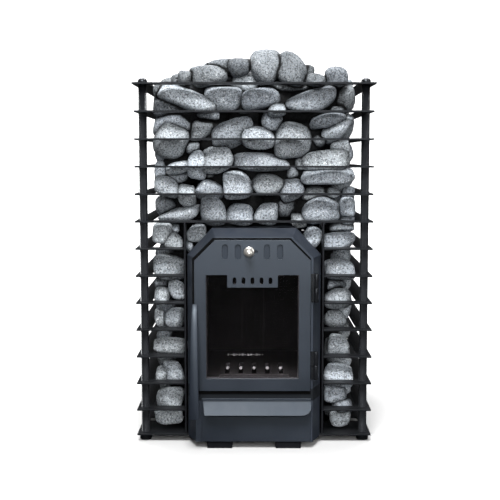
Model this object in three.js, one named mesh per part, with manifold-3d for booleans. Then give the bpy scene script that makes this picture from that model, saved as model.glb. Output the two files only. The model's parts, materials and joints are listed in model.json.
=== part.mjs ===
// Wood-fired sauna stove: a firebox inside a cage of flat steel plates that holds loose stones.
// Millimetres. X runs to the right, Y back from the cage's front edges, Z up from the floor.
import * as THREE from "three";
import { mergeVertices } from "three/addons/utils/BufferGeometryUtils.js";
import { ConvexGeometry } from "three/addons/geometries/ConvexGeometry.js";
import Module from "manifold-3d";

const wasm = await Module();
wasm.setup();

// Clearance between pieces that touch
const GAP = 0.3;
// How far a cut runs past what it cuts
const PAST = 5;
// Share by which a cut corner shortens when its outline moves in
const MITRE = 2 - Math.SQRT2;

// Cage of plates on four posts
const CAGE_WIDTH = 540;
const CAGE_DEPTH = 540;
const TOP_OVERHANG = 4;
const PLATE = 4;
const BAND = 33;
const RING_COUNT = 13;
const OPEN_RINGS = 7;
const RING_PITCH = 62.2;
const FIRST_PITCH = 58;
const FOOT_HEIGHT = 15;
const FOOT_RADIUS = 14;
const FOOT_SIDES = 12;
const POST_RADIUS = 9.5;
const POST_SIDE_INSET = 17;
const POST_END_INSET = 27;
const POST_SIDES = 8;
const CAP_RADIUS = 11;
const CAP_HEIGHT = 11;
const CAP_SIDES = 8;
const JAMB_INNER = 155.5;
const ANCHOR_SLOT_WIDTH = 20;
const ANCHOR_SLOT_LENGTH = 34;
const ANCHOR_SIDE_INSET = 27;
const ANCHOR_END_INSET = 131;

// Firebox and its tapered hood
const FIREBOX_HALF = 151.5;
const FIREBOX_TOP = 496;
const FIREBOX_DEPTH = 400;
const FIREBOX_SHEET = 5;
const CHAMFER_WIDE = 55.5;
const CHAMFER_TALL = 60;
const HOOD_DEPTH = 50;
const HOOD_SHEET = 4;
const HOOD_FRONT_HALF = 132;
const HOOD_FRONT_TOP = 479;
const HOOD_FRONT_CHAMFER = 46;
const LEG_INNER = 49;
const LEG_OUTER = 106;
const LEG_DEPTH = 30;
const HEARTH_TOP = 140;
const HEARTH_SHEET = 6;
const HEARTH_FRONT = 1;
const GRATE_HALF = 82;
const GRATE_FRONT = 42;
const GRATE_BACK = 182;
const GRATE_THICK = 9;
const GRATE_LAP = 8;
const GRATE_SLOT_END = 12;
const GRATE_SLOTS = 5;
const GRATE_SLOT_PITCH = 32;
const GRATE_SLOT_WIDTH = 11;
const LINING = 26;
const LINING_TOP = 372;
const LINING_FRONT = 12;
const BAFFLE_THICK = 9;
const BAFFLE_FRONT = 110;
const FLUE_RADIUS = 60;
const FLUE_WALL = 3;
const FLUE_BACK_INSET = 65;
const FLUE_TOP = 820;
const FLUE_SIDES = 20;

// Door
const DOOR_LEFT = -133;
const DOOR_RIGHT = 126;
const DOOR_BOTTOM = 134;
const DOOR_TOP = 474;
const DOOR_CHAMFER = 46;
const DOOR_PLATE = 4;
const DOOR_GASKET = 2.7;
const GASKET_OUTSET = 1.5;
const GASKET_WIDTH = 6;
const OPENING_INSET = 8;
const WINDOW_SIDE = 26;
const WINDOW_BOTTOM = 162;
const WINDOW_TOP = 396;
const WINDOW_TAB_HALF = 56.5;
const WINDOW_TAB_DROP = 28;
const TAB_SLOTS = 5;
const TAB_SLOT_PITCH = 20;
const TAB_SLOT_WIDTH = 8;
const TAB_SLOT_TALL = 16;
const TAB_SLOT_RISE = 1;
const GLASS = 4;
const GLASS_LAP = 8;
const GLASS_PAD = 1.5;
const RETAINER = 2;
const RETAINER_WIDTH = 12;
const AIR_SLOT_WIDTH = 13;
const AIR_SLOT_BOTTOM = 430;
const AIR_SLOT_TOP = 465;
const AIR_SLOT_INNER = 32;
const AIR_SLOT_OUTER = 61;
const AIR_TRAVEL = 15;
const SLIDE_SHEET = 2;
const SLIDE_BOTTOM = 426.4;
const SLIDE_TOP = 466;
const SLIDE_PLAY = 0.4;
const SLIDE_LEFT_OVER = 1.5;
const SLIDE_RIGHT_OVER = 3;
const SLIDE_CUT_WIDE = 10;
const SLIDE_CUT_TALL = 12;
const SLIDE_HOLE_SHORT = 1.5;
const GUIDE_BOTTOM = 418;
const GUIDE_PLAY = 0.5;
const GUIDE_WALL = 1.5;
const GUIDE_LIP = 4;
const KNOB_Z = 447.5;
const KNOB_STEM = 4;
const KNOB_DISC = 12;
const KNOB_BALL = 10;
const KNOB_BALL_OUT = 21;
const KNOB_DISC_THICK = 2;
const KNOB_CONE = 1;
const KNOB_SEAT = 0.2;
const KNOB_SIDES = 10;
const HANDLE_TOP = 332;
const HANDLE_BOTTOM = 80;
const HANDLE_REACH = 46;
const HANDLE_THICK = 5;
const HANDLE_TOP_WIDTH = 13;
const HANDLE_BOTTOM_WIDTH = 22.5;
const HANDLE_X = -132;
const HANDLE_ROOT = 2;
const HANDLE_BEND = 50;
const HANDLE_BLADE = 110;
const HANDLE_STEPS = 8;
const HINGE_X = 138.5;
const HINGE_RADIUS = 5;
const HINGE_PIN = 2.6;
const HINGE_BORE = 3.1;
const HINGE_LENGTH = 64;
const HINGE_UPPER = 335;
const HINGE_LOWER = 160;
const HINGE_SETBACK = 1.3;
const HINGE_SIDES = 10;
const HINGE_PIN_ROOT = 2;
const HINGE_PIN_PAST = 3;
const HINGE_PIN_SIDES = 8;
const LEAF_CLEAR = 1.5;
const LEAF_SETBACK = 2;

// Ash drawer
const DRAWER_LEFT = -118;
const DRAWER_RIGHT = 128;
const DRAWER_BOTTOM = 17;
const DRAWER_TOP = 116;
const DRAWER_PLATE = 4;
const TRAY_HALF = 108;
const TRAY_TOP = 102;
const TRAY_BACK = 330;
const TRAY_SHEET = 2.5;
const TRAY_PLAY = 0.5;
const DRAWER_MOUTH_SIDE = 3;
const LIP_LEFT = -115.5;
const LIP_TOP = 106;
const LIP_LENGTH = 38;
const LIP_SLOPE = 43;
const LIP_CORNER = 21;
const LIP_TAPER = 5;
const LIP_ROOT = 4;

// Stones
const STONE_CLEAR = 1;
const STONE_DEEP_LEAST = 22;
const STONE_DEEP_MOST = 42;
const FRONT_CELL = 150;
const SIDE_DEEP = 30;
const SIDE_DEEP_MORE = 5;
const ROW_SHIFT = 0.12;
const LOW_SIDE_COUNT = 3;
const HIGH_SIDE_COUNT = 3;
const LOW_REAR_COUNT = 4;
const HIGH_REAR_COUNT = 2;
const TOP_COLUMNS = 2;
const TOP_TALL = 24;
const TOP_TALL_MORE = 8;
const TOP_SINK = 10;
const TOP_RISE = 12;
const FLUE_CLEAR = 4;
const HEAP_SINK = 11;
// The filling: how far it stands behind the plates, and its steps inside a zone of stones
const FILL_FRONT = 38;
const FILL_WIDER = 16;
const FILL_RISE = 14;
const FILL_SINK = 20;
const FILL_LAP = 9;
const FILL_STEP = 3;
const CELL_OVER = 10;
const SEAT_DROP = 60;
// Flat facets lie inside the round stone, so their corners stand out a little
const STONE_ROUND = 1.08;
// An icosahedron reaches this share of its corner radius along the axes
const COARSE_REACH = 0.85;

// Viewpoint of the picture that the front stones are read from, with pixels for the lens
const EYE_Y = -2193;
const EYE_Z = 660.5;
const EYE_TILT = (5.573 * Math.PI) / 180;
const EYE_FOCAL = 970;
const EYE_COLUMN = 254.3;
const EYE_ROW = 250;
const HEAP_ROW = 82;
const SMALL_STONE = 15;

// Values that follow
const doorBack = -HOOD_DEPTH - DOOR_GASKET - 2 * GAP;
const doorFront = doorBack - DOOR_PLATE;
const doorMiddle = (DOOR_LEFT + DOOR_RIGHT) / 2;
const baseTop = FOOT_HEIGHT + PLATE;
const hingeY = doorFront + HINGE_SETBACK;
const postX = CAGE_WIDTH / 2 - POST_SIDE_INSET;
const postY = [POST_END_INSET, CAGE_DEPTH - POST_END_INSET];
const anchorX = CAGE_WIDTH / 2 - ANCHOR_SIDE_INSET;
const flueY = FIREBOX_DEPTH - FLUE_BACK_INSET;
const frontReach = -doorFront + GAP + HANDLE_REACH;
const middleY = (CAGE_DEPTH + TOP_OVERHANG - frontReach) / 2;
// Underside of ring n, counted from the top
const ringZ = (n) => FOOT_HEIGHT + FIRST_PITCH + (RING_COUNT - n) * RING_PITCH;
const topFace = ringZ(1) + PLATE;

// Colours, one material a kind of surface
const paint = (color, roughness, metalness) =>
  new THREE.MeshStandardMaterial({ color, roughness, metalness });
const blackSteel = paint(0x2c3036, 0.45, 0.3);
const rawSteel = paint(0x4b4a48, 0.6, 0.7);
const bright = paint(0xd8d6d0, 0.12, 1);
const stone = paint(0x8f9698, 0.85, 0);
const brick = paint(0x6e6459, 0.95, 0);
const rope = paint(0x5a5854, 0.95, 0);
const darkGlass = paint(0x15171a, 0.08, 0);

const part = new THREE.Group();

// Any closed geometry as a solid for adding and cutting
function solid(geometry) {
  const bare = geometry.clone();
  bare.deleteAttribute("normal");
  bare.deleteAttribute("uv");
  const merged = mergeVertices(bare, 1e-4);
  return new wasm.Manifold(
    new wasm.Mesh({
      numProp: 3,
      vertProperties: new Float32Array(merged.attributes.position.array),
      triVerts: new Uint32Array(merged.index.array),
    }),
  );
}

function add(name, shape, material) {
  let geometry = shape;
  if (shape.getMesh) {
    const mesh = shape.getMesh();
    geometry = new THREE.BufferGeometry();
    geometry.setAttribute("position", new THREE.BufferAttribute(mesh.vertProperties, 3));
    geometry.setIndex(new THREE.BufferAttribute(mesh.triVerts, 1));
  }
  geometry.computeVertexNormals();
  const mesh = new THREE.Mesh(geometry, material);
  mesh.name = name;
  part.add(mesh);
}

function boxShape(x0, x1, y0, y1, z0, z1) {
  return new THREE.BoxGeometry(x1 - x0, y1 - y0, z1 - z0).translate(
    (x0 + x1) / 2,
    (y0 + y1) / 2,
    (z0 + z1) / 2,
  );
}
const box = (...limits) => solid(boxShape(...limits));

function prism(points, depth) {
  const shape = new THREE.Shape(points.map(([a, b]) => new THREE.Vector2(a, b)));
  return new THREE.ExtrudeGeometry(shape, { depth, bevelEnabled: false });
}

// Outline with holes as a flat solid that starts at zero
function pierced(points, holes, depth) {
  let made = solid(prism(points, depth));
  for (const hole of holes) made = made.subtract(solid(prism(hole, depth + 2).translate(0, 0, -1)));
  return made;
}

// Outline in plan, raised from z0 to z1
function planPlate(points, holes, z0, z1) {
  return pierced(points, holes, z1 - z0).translate([0, 0, z0]);
}

// Outline seen from the front, from yBack forward by depth
function frontPlate(points, holes, yBack, depth) {
  return pierced(points, holes, depth).rotate([90, 0, 0]).translate([0, yBack, 0]);
}

// Outline seen from the right, y across and z up, between two x
function sidePlate(points, x0, x1) {
  return prism(points, x1 - x0)
    .rotateY(Math.PI / 2)
    .rotateX(Math.PI / 2)
    .translate(x0, 0, 0);
}

function rod(x, y, z0, z1, radius, sides) {
  return new THREE.CylinderGeometry(radius, radius, z1 - z0, sides)
    .rotateX(Math.PI / 2)
    .rotateZ(Math.PI / sides)
    .translate(x, y, (z0 + z1) / 2);
}

function circle(x, y, radius, sides) {
  const points = [];
  for (let i = 0; i < sides; i++) {
    const turn = ((i + 0.5) * 2 * Math.PI) / sides;
    points.push([x + radius * Math.sin(turn), y + radius * Math.cos(turn)]);
  }
  return points;
}

const rectangle = (a0, a1, b0, b1) => [
  [a0, b0],
  [a1, b0],
  [a1, b1],
  [a0, b1],
];

// Upright slot with round ends
function slotOutline(x, z0, z1, width) {
  const r = width / 2;
  const steps = 4;
  const points = [];
  for (const [z, start] of [
    [z1 - r, 0],
    [z0 + r, Math.PI],
  ])
    for (let i = 0; i <= steps; i++) {
      const turn = start + (i * Math.PI) / steps;
      points.push([x + r * Math.cos(turn), z + r * Math.sin(turn)]);
    }
  return points;
}

// Upright rectangle whose two top corners are cut
const chamfered = (x0, x1, z0, z1, wide, tall) => [
  [x0, z0],
  [x1, z0],
  [x1, z1 - tall],
  [x1 - wide, z1],
  [x0 + wide, z1],
  [x0, z1 - tall],
];

// Cage
const corners = [
  ["front_left", -postX, postY[0]],
  ["front_right", postX, postY[0]],
  ["rear_left", -postX, postY[1]],
  ["rear_right", postX, postY[1]],
];
const postHoles = corners.map(([, x, y]) => circle(x, y, POST_RADIUS + GAP, POST_SIDES));

const anchorSlots = [];
for (const x of [-anchorX, anchorX])
  for (const y of [ANCHOR_END_INSET, CAGE_DEPTH - ANCHOR_END_INSET])
    anchorSlots.push(
      rectangle(
        x - ANCHOR_SLOT_WIDTH / 2,
        x + ANCHOR_SLOT_WIDTH / 2,
        y - ANCHOR_SLOT_LENGTH / 2,
        y + ANCHOR_SLOT_LENGTH / 2,
      ),
    );
add(
  "base_plate",
  planPlate(
    rectangle(-CAGE_WIDTH / 2, CAGE_WIDTH / 2, 0, CAGE_DEPTH),
    [...postHoles, ...anchorSlots],
    FOOT_HEIGHT,
    baseTop,
  ),
  blackSteel,
);

const cageInner = CAGE_WIDTH / 2 - BAND;
const ringEnd = JAMB_INNER + PLATE + GAP;
for (let n = 1; n <= RING_COUNT; n++) {
  const over = n === 1 ? TOP_OVERHANG : 0;
  const half = CAGE_WIDTH / 2 + over;
  const back = CAGE_DEPTH + over;
  const closed = n < OPEN_RINGS;
  // The lower rings stop at the jambs on either side of the hood
  const edge = closed
    ? rectangle(-half, half, -over, back)
    : [
        [-half, 0],
        [-ringEnd, 0],
        [-ringEnd, BAND],
        [-cageInner, BAND],
        [-cageInner, CAGE_DEPTH - BAND],
        [cageInner, CAGE_DEPTH - BAND],
        [cageInner, BAND],
        [ringEnd, BAND],
        [ringEnd, 0],
        [half, 0],
        [half, back],
        [-half, back],
      ];
  const inner = rectangle(-cageInner, cageInner, BAND, CAGE_DEPTH - BAND);
  add(
    "ring_" + String(n).padStart(2, "0"),
    planPlate(edge, closed ? [inner, ...postHoles] : postHoles, ringZ(n), ringZ(n) + PLATE),
    blackSteel,
  );
}

for (const [place, x, y] of corners) {
  const foot = solid(rod(x, y, 0, FOOT_HEIGHT - GAP, FOOT_RADIUS, FOOT_SIDES));
  const post = solid(rod(x, y, FOOT_HEIGHT / 2, topFace + GAP / 2, POST_RADIUS, POST_SIDES));
  add("post_" + place, post.add(foot), blackSteel);
  const dome = [
    [0, 0],
    [CAP_RADIUS, 0],
    [CAP_RADIUS, CAP_HEIGHT * 0.3],
    [CAP_RADIUS * 0.8, CAP_HEIGHT * 0.72],
    [0, CAP_HEIGHT],
  ].map(([r, z]) => new THREE.Vector2(r, z));
  add(
    "cap_nut_" + place,
    new THREE.LatheGeometry(dome, CAP_SIDES).rotateX(Math.PI / 2).translate(x, y, topFace + 2 * GAP),
    blackSteel,
  );
}

const jambTop = ringZ(OPEN_RINGS - 1) - GAP;
for (const [side, sign] of [
  ["left", -1],
  ["right", 1],
]) {
  const ends = [sign * JAMB_INNER, sign * (JAMB_INNER + PLATE)].sort((a, b) => a - b);
  add(
    "jamb_" + side,
    boxShape(ends[0], ends[1], 0, BAND, baseTop + GAP, jambTop),
    blackSteel,
  );
  const leg = [sign * LEG_INNER, sign * LEG_OUTER].sort((a, b) => a - b);
  add(
    "front_leg_" + side,
    boxShape(leg[0], leg[1], GAP - HOOD_DEPTH, LEG_DEPTH - HOOD_DEPTH, 0, FOOT_HEIGHT - GAP),
    blackSteel,
  );
}

// Firebox: the hood's rear outline carried back as a shell, closed behind, with the flue hole on top
const fireboxOutline = (inset, bottom) =>
  chamfered(
    inset - FIREBOX_HALF,
    FIREBOX_HALF - inset,
    bottom + inset,
    FIREBOX_TOP - inset,
    CHAMFER_WIDE - MITRE * inset,
    CHAMFER_TALL - MITRE * inset,
  );
const fireboxFloor = baseTop + GAP;
const shell = frontPlate(fireboxOutline(0, fireboxFloor), [], FIREBOX_DEPTH, FIREBOX_DEPTH - GAP)
  .subtract(
    frontPlate(
      fireboxOutline(FIREBOX_SHEET, fireboxFloor),
      [],
      FIREBOX_DEPTH - FIREBOX_SHEET,
      FIREBOX_DEPTH,
    ),
  )
  .subtract(
    solid(
      rod(
        0,
        flueY,
        FIREBOX_TOP - 2 * FIREBOX_SHEET,
        FIREBOX_TOP + FIREBOX_SHEET,
        FLUE_RADIUS - FLUE_WALL,
        FLUE_SIDES,
      ),
    ),
  );
add("firebox_shell", shell, blackSteel);

// Hood, the hardest shape: a frustum between the firebox outline and a smaller one in front
function hoodForm(inset) {
  const rear = fireboxOutline(inset, FOOT_HEIGHT);
  const front = chamfered(
    inset - HOOD_FRONT_HALF,
    HOOD_FRONT_HALF - inset,
    FOOT_HEIGHT + inset,
    HOOD_FRONT_TOP - inset,
    HOOD_FRONT_CHAMFER,
    HOOD_FRONT_CHAMFER,
  );
  const run = inset > 0 ? HOOD_SHEET : 0;
  // The inner form runs past the rear so that the hood stays open there
  const back = inset > 0 ? 1 : 0;
  return solid(
    new ConvexGeometry([
      ...rear.map(([x, z]) => new THREE.Vector3(x, back, z)),
      ...front.map(([x, z]) => new THREE.Vector3(x, run - HOOD_DEPTH, z)),
    ]),
  );
}
const doorOutline = (inset) =>
  chamfered(
    DOOR_LEFT + inset,
    DOOR_RIGHT - inset,
    DOOR_BOTTOM + inset,
    DOOR_TOP - inset,
    DOOR_CHAMFER - MITRE * inset,
    DOOR_CHAMFER - MITRE * inset,
  );
const through = HOOD_SHEET + PAST;
const mouthTop = TRAY_TOP + DRAWER_MOUTH_SIDE;
const hood = hoodForm(0)
  .subtract(hoodForm(HOOD_SHEET))
  .subtract(frontPlate(doorOutline(OPENING_INSET), [], through - HOOD_DEPTH, 2 * through))
  .subtract(
    box(
      -TRAY_HALF - DRAWER_MOUTH_SIDE,
      TRAY_HALF + DRAWER_MOUTH_SIDE,
      -HOOD_DEPTH - through,
      through - HOOD_DEPTH,
      fireboxFloor + DRAWER_MOUTH_SIDE,
      mouthTop,
    ),
  );
add("front_hood", hood, blackSteel);

const inside = FIREBOX_HALF - FIREBOX_SHEET - GAP;
const insideBack = FIREBOX_DEPTH - FIREBOX_SHEET - GAP;
const hearthBottom = HEARTH_TOP - HEARTH_SHEET;
const grateHole = rectangle(
  GRATE_LAP - GRATE_HALF,
  GRATE_HALF - GRATE_LAP,
  GRATE_FRONT + GRATE_LAP,
  GRATE_BACK - GRATE_LAP,
);
add(
  "hearth_plate",
  planPlate(
    rectangle(-inside, inside, HEARTH_FRONT, insideBack),
    [grateHole],
    hearthBottom,
    HEARTH_TOP,
  ),
  rawSteel,
);
const grateSlots = [];
for (let i = 0; i < GRATE_SLOTS; i++) {
  const x = (i - (GRATE_SLOTS - 1) / 2) * GRATE_SLOT_PITCH;
  const half = GRATE_SLOT_WIDTH / 2;
  grateSlots.push(rectangle(x - half, x + half, GRATE_FRONT + GRATE_SLOT_END, GRATE_BACK - GRATE_SLOT_END));
}
add(
  "grate",
  planPlate(
    rectangle(-GRATE_HALF, GRATE_HALF, GRATE_FRONT, GRATE_BACK),
    grateSlots,
    HEARTH_TOP + GAP,
    HEARTH_TOP + GAP + GRATE_THICK,
  ),
  rawSteel,
);
const liningBottom = HEARTH_TOP + GAP;
const liningBack = insideBack - LINING - GAP;
const liningRear = insideBack - LINING;
for (const [side, x0, x1, y0, y1] of [
  ["left", -inside, LINING - inside, LINING_FRONT, liningBack],
  ["right", inside - LINING, inside, LINING_FRONT, liningBack],
  ["rear", -inside, inside, liningRear, insideBack],
])
  add("lining_" + side, boxShape(x0, x1, y0, y1, liningBottom, LINING_TOP), brick);
const baffleBottom = LINING_TOP + GAP;
add(
  "baffle",
  boxShape(-inside, inside, BAFFLE_FRONT, insideBack, baffleBottom, baffleBottom + BAFFLE_THICK),
  brick,
);
const flueBore = FLUE_RADIUS - FLUE_WALL;
const flue = solid(rod(0, flueY, FIREBOX_TOP + GAP, FLUE_TOP, FLUE_RADIUS, FLUE_SIDES)).subtract(
  solid(rod(0, flueY, FIREBOX_TOP - PAST, FLUE_TOP + PAST, flueBore, FLUE_SIDES)),
);
add("flue_pipe", flue, blackSteel);

// Door panel with its window, tab, air slots and the slot for the knob's stem
const windowLeft = DOOR_LEFT + WINDOW_SIDE;
const windowRight = DOOR_RIGHT - WINDOW_SIDE;
const tabBottom = WINDOW_TOP - WINDOW_TAB_DROP;
const windowHole = [
  [windowLeft, WINDOW_BOTTOM],
  [windowRight, WINDOW_BOTTOM],
  [windowRight, WINDOW_TOP],
  [doorMiddle + WINDOW_TAB_HALF, WINDOW_TOP],
  [doorMiddle + WINDOW_TAB_HALF, tabBottom],
  [doorMiddle - WINDOW_TAB_HALF, tabBottom],
  [doorMiddle - WINDOW_TAB_HALF, WINDOW_TOP],
  [windowLeft, WINDOW_TOP],
];
const tabSlots = [];
for (let i = 0; i < TAB_SLOTS; i++) {
  const x = doorMiddle + (i - (TAB_SLOTS - 1) / 2) * TAB_SLOT_PITCH;
  const z = tabBottom + WINDOW_TAB_DROP / 2 + TAB_SLOT_RISE;
  tabSlots.push(slotOutline(x, z - TAB_SLOT_TALL / 2, z + TAB_SLOT_TALL / 2, TAB_SLOT_WIDTH));
}
const slotXs = [-AIR_SLOT_OUTER, -AIR_SLOT_INNER, AIR_SLOT_INNER, AIR_SLOT_OUTER].map(
  (x) => doorMiddle + x,
);
const airSlots = slotXs.map((x) => slotOutline(x, AIR_SLOT_BOTTOM, AIR_SLOT_TOP, AIR_SLOT_WIDTH));
const knobX = doorMiddle - AIR_TRAVEL / 2;
const stemHole = KNOB_STEM + GAP;
// The same round-ended slot turned on its side
const stemSlot = slotOutline(0, -stemHole, AIR_TRAVEL + stemHole, 2 * stemHole).map(([a, b]) => [
  knobX + b,
  KNOB_Z - a,
]);
add(
  "door_panel",
  frontPlate(doorOutline(0), [windowHole, ...tabSlots, ...airSlots, stemSlot], doorBack, DOOR_PLATE),
  blackSteel,
);
add(
  "door_gasket",
  frontPlate(
    doorOutline(GASKET_OUTSET),
    [doorOutline(GASKET_OUTSET + GASKET_WIDTH)],
    doorBack + GAP + DOOR_GASKET,
    DOOR_GASKET,
  ),
  rope,
);

const paneEdge = (grow) =>
  rectangle(windowLeft - grow, windowRight + grow, WINDOW_BOTTOM - grow, WINDOW_TOP + grow);
let layer = doorBack + GAP + GLASS_PAD;
add("glass_gasket", frontPlate(paneEdge(GLASS_LAP), [paneEdge(1)], layer, GLASS_PAD), rope);
layer += GAP + GLASS;
add("door_glass", frontPlate(paneEdge(GLASS_LAP), [], layer, GLASS), darkGlass);
layer += GAP + RETAINER;
add(
  "glass_retainer",
  frontPlate(paneEdge(GLASS_LAP + 2), [paneEdge(GLASS_LAP + 2 - RETAINER_WIDTH)], layer, RETAINER),
  rawSteel,
);

// Handle: a curved blade, cut to its taper seen from the front
function handleSide() {
  const start = doorFront - GAP;
  const blade = start - HANDLE_REACH + HANDLE_THICK / 2;
  const curve = new THREE.CubicBezierCurve(
    new THREE.Vector2(start + HANDLE_ROOT, HANDLE_TOP - HANDLE_ROOT),
    new THREE.Vector2(start - 0.75 * HANDLE_REACH, HANDLE_TOP - HANDLE_BEND),
    new THREE.Vector2(blade, HANDLE_TOP - HANDLE_BLADE),
    new THREE.Vector2(blade, HANDLE_BOTTOM),
  );
  const front = [];
  const rear = [];
  for (let i = 0; i <= HANDLE_STEPS; i++) {
    const p = curve.getPoint(i / HANDLE_STEPS);
    const t = curve.getTangent(i / HANDLE_STEPS);
    const side = new THREE.Vector2(t.y, -t.x).multiplyScalar(HANDLE_THICK / 2);
    front.push([p.x + side.x, p.y + side.y]);
    rear.unshift([p.x - side.x, p.y - side.y]);
  }
  return sidePlate(
    [...front, ...rear],
    HANDLE_X - HANDLE_BOTTOM_WIDTH,
    HANDLE_X + HANDLE_BOTTOM_WIDTH,
  );
}
const handleFace = [
  [HANDLE_X - HANDLE_BOTTOM_WIDTH / 2, HANDLE_BOTTOM - PAST],
  [HANDLE_X + HANDLE_BOTTOM_WIDTH / 2, HANDLE_BOTTOM - PAST],
  [HANDLE_X + HANDLE_TOP_WIDTH / 2, HANDLE_TOP + PAST],
  [HANDLE_X - HANDLE_TOP_WIDTH / 2, HANDLE_TOP + PAST],
];
const handle = solid(handleSide()).intersect(
  frontPlate(handleFace, [], doorFront - GAP, HANDLE_REACH + PAST),
);
add("door_handle", handle, blackSteel);

// Hinges: the lower half with its pin stays on the hood, the upper half lifts off with the door
for (const [place, z] of [
  ["upper", HINGE_UPPER],
  ["lower", HINGE_LOWER],
]) {
  const split = z + HINGE_LENGTH / 2;
  const top = z + HINGE_LENGTH;
  const pinTop = top + HINGE_PIN_PAST;
  const leafFront = hingeY + LEAF_SETBACK;
  const fixed = solid(rod(HINGE_X, hingeY, z, split - GAP, HINGE_RADIUS, HINGE_SIDES))
    .add(solid(rod(HINGE_X, hingeY, z + HINGE_PIN_ROOT, pinTop, HINGE_PIN, HINGE_PIN_SIDES)))
    .add(box(DOOR_RIGHT + LEAF_CLEAR, HINGE_X, leafFront, -HOOD_DEPTH - GAP, z, split - GAP));
  add("hinge_frame_" + place, fixed, blackSteel);
  const moving = solid(rod(HINGE_X, hingeY, split + GAP, top, HINGE_RADIUS, HINGE_SIDES))
    .add(box(DOOR_RIGHT + GAP, HINGE_X, doorFront, doorBack, split + GAP, top))
    .subtract(solid(rod(HINGE_X, hingeY, z, top + PAST, HINGE_BORE, HINGE_PIN_SIDES)));
  add("hinge_door_" + place, moving, blackSteel);
}

// Air register: a plate behind the panel, a rail under it and the knob in front
const slideBack = doorBack + SLIDE_PLAY + SLIDE_SHEET;
const slideLeft = slotXs[0] - AIR_SLOT_WIDTH / 2 - SLIDE_LEFT_OVER;
const slideRight = slotXs[3] + AIR_SLOT_WIDTH / 2 + SLIDE_RIGHT_OVER;
const slideOutline = [
  [slideLeft, SLIDE_BOTTOM],
  [slideRight, SLIDE_BOTTOM],
  [slideRight, SLIDE_TOP - SLIDE_CUT_TALL],
  [slideRight - SLIDE_CUT_WIDE, SLIDE_TOP],
  [slideLeft, SLIDE_TOP],
];
const holeBottom = AIR_SLOT_BOTTOM + SLIDE_HOLE_SHORT;
const holeTop = AIR_SLOT_TOP - SLIDE_HOLE_SHORT;
const slideHoles = slotXs
  .slice(1)
  .map((x) => slotOutline(x - AIR_TRAVEL, holeBottom, holeTop, AIR_SLOT_WIDTH));
slideHoles.push(circle(knobX, KNOB_Z, KNOB_STEM + GAP, KNOB_SIDES));
add("air_slide", frontPlate(slideOutline, slideHoles, slideBack, SLIDE_SHEET), rawSteel);
const railFront = slideBack + GUIDE_PLAY;
const railBack = railFront + GUIDE_WALL;
const railTop = SLIDE_BOTTOM + GUIDE_LIP;
const rail = box(
  slideLeft,
  slideRight,
  doorBack + GAP,
  railBack,
  GUIDE_BOTTOM,
  SLIDE_BOTTOM - GAP,
).add(box(slideLeft, slideRight, railFront, railBack, GUIDE_BOTTOM, railTop));
add("slide_guide", rail, rawSteel);
const discAt = slideBack - doorFront + GAP;
const ballAt = slideBack - doorFront + KNOB_BALL_OUT;
const knobProfile = [
  [0, 0],
  [KNOB_STEM, 0],
  [KNOB_STEM, discAt],
  [KNOB_DISC, discAt],
  [KNOB_DISC, discAt + KNOB_DISC_THICK],
  [KNOB_STEM + KNOB_CONE, discAt + KNOB_DISC_THICK + KNOB_CONE],
  [KNOB_STEM, ballAt - 0.92 * KNOB_BALL],
];
for (const turn of [-40, -10, 20, 50])
  knobProfile.push([
    KNOB_BALL * Math.cos((turn * Math.PI) / 180),
    ballAt + KNOB_BALL * Math.sin((turn * Math.PI) / 180),
  ]);
knobProfile.push([0, ballAt + KNOB_BALL]);
add(
  "air_knob",
  new THREE.LatheGeometry(
    knobProfile.map(([r, y]) => new THREE.Vector2(r, y)),
    KNOB_SIDES,
  )
    .rotateX(Math.PI)
    .translate(knobX, slideBack - KNOB_SEAT, KNOB_Z),
  bright,
);

// Ash drawer
const drawerBack = -HOOD_DEPTH - GAP;
const drawerFace = drawerBack - DRAWER_PLATE;
add(
  "drawer_front",
  boxShape(DRAWER_LEFT, DRAWER_RIGHT, drawerFace, drawerBack, DRAWER_BOTTOM, DRAWER_TOP),
  blackSteel,
);
const trayFront = drawerBack + GAP;
const trayBottom = fireboxFloor + FIREBOX_SHEET + TRAY_PLAY;
const tray = box(-TRAY_HALF, TRAY_HALF, trayFront, TRAY_BACK, trayBottom, TRAY_TOP).subtract(
  box(
    TRAY_SHEET - TRAY_HALF,
    TRAY_HALF - TRAY_SHEET,
    trayFront + TRAY_SHEET,
    TRAY_BACK - TRAY_SHEET,
    trayBottom + TRAY_SHEET,
    TRAY_TOP + PAST,
  ),
);
add("ash_tray", tray, rawSteel);
// Lip: a plate that slopes out and down, its lower right corner rounded
const lipOutline = [
  [LIP_LEFT, 0],
  [LIP_LEFT + LIP_TAPER, -LIP_LENGTH],
];
const cornerSteps = 6;
for (let i = 0; i <= cornerSteps; i++) {
  const turn = (i * Math.PI) / 2 / cornerSteps;
  lipOutline.push([
    DRAWER_RIGHT - LIP_CORNER + LIP_CORNER * Math.sin(turn),
    LIP_CORNER - LIP_LENGTH - LIP_CORNER * Math.cos(turn),
  ]);
}
lipOutline.push([DRAWER_RIGHT, 0]);
const lipSlope = (LIP_SLOPE * Math.PI) / 180;
const lipBack = drawerFace - GAP;
const lip = solid(
  prism(lipOutline, DRAWER_PLATE)
    .translate(0, LIP_ROOT, 0)
    .rotateX(Math.PI / 2 - lipSlope)
    .translate(0, lipBack, LIP_TOP),
).intersect(
  box(
    LIP_LEFT - PAST,
    DRAWER_RIGHT + PAST,
    lipBack - 2 * LIP_LENGTH,
    lipBack,
    DRAWER_BOTTOM,
    LIP_TOP + LIP_LENGTH,
  ),
);
add("drawer_handle", lip, blackSteel);

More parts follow.
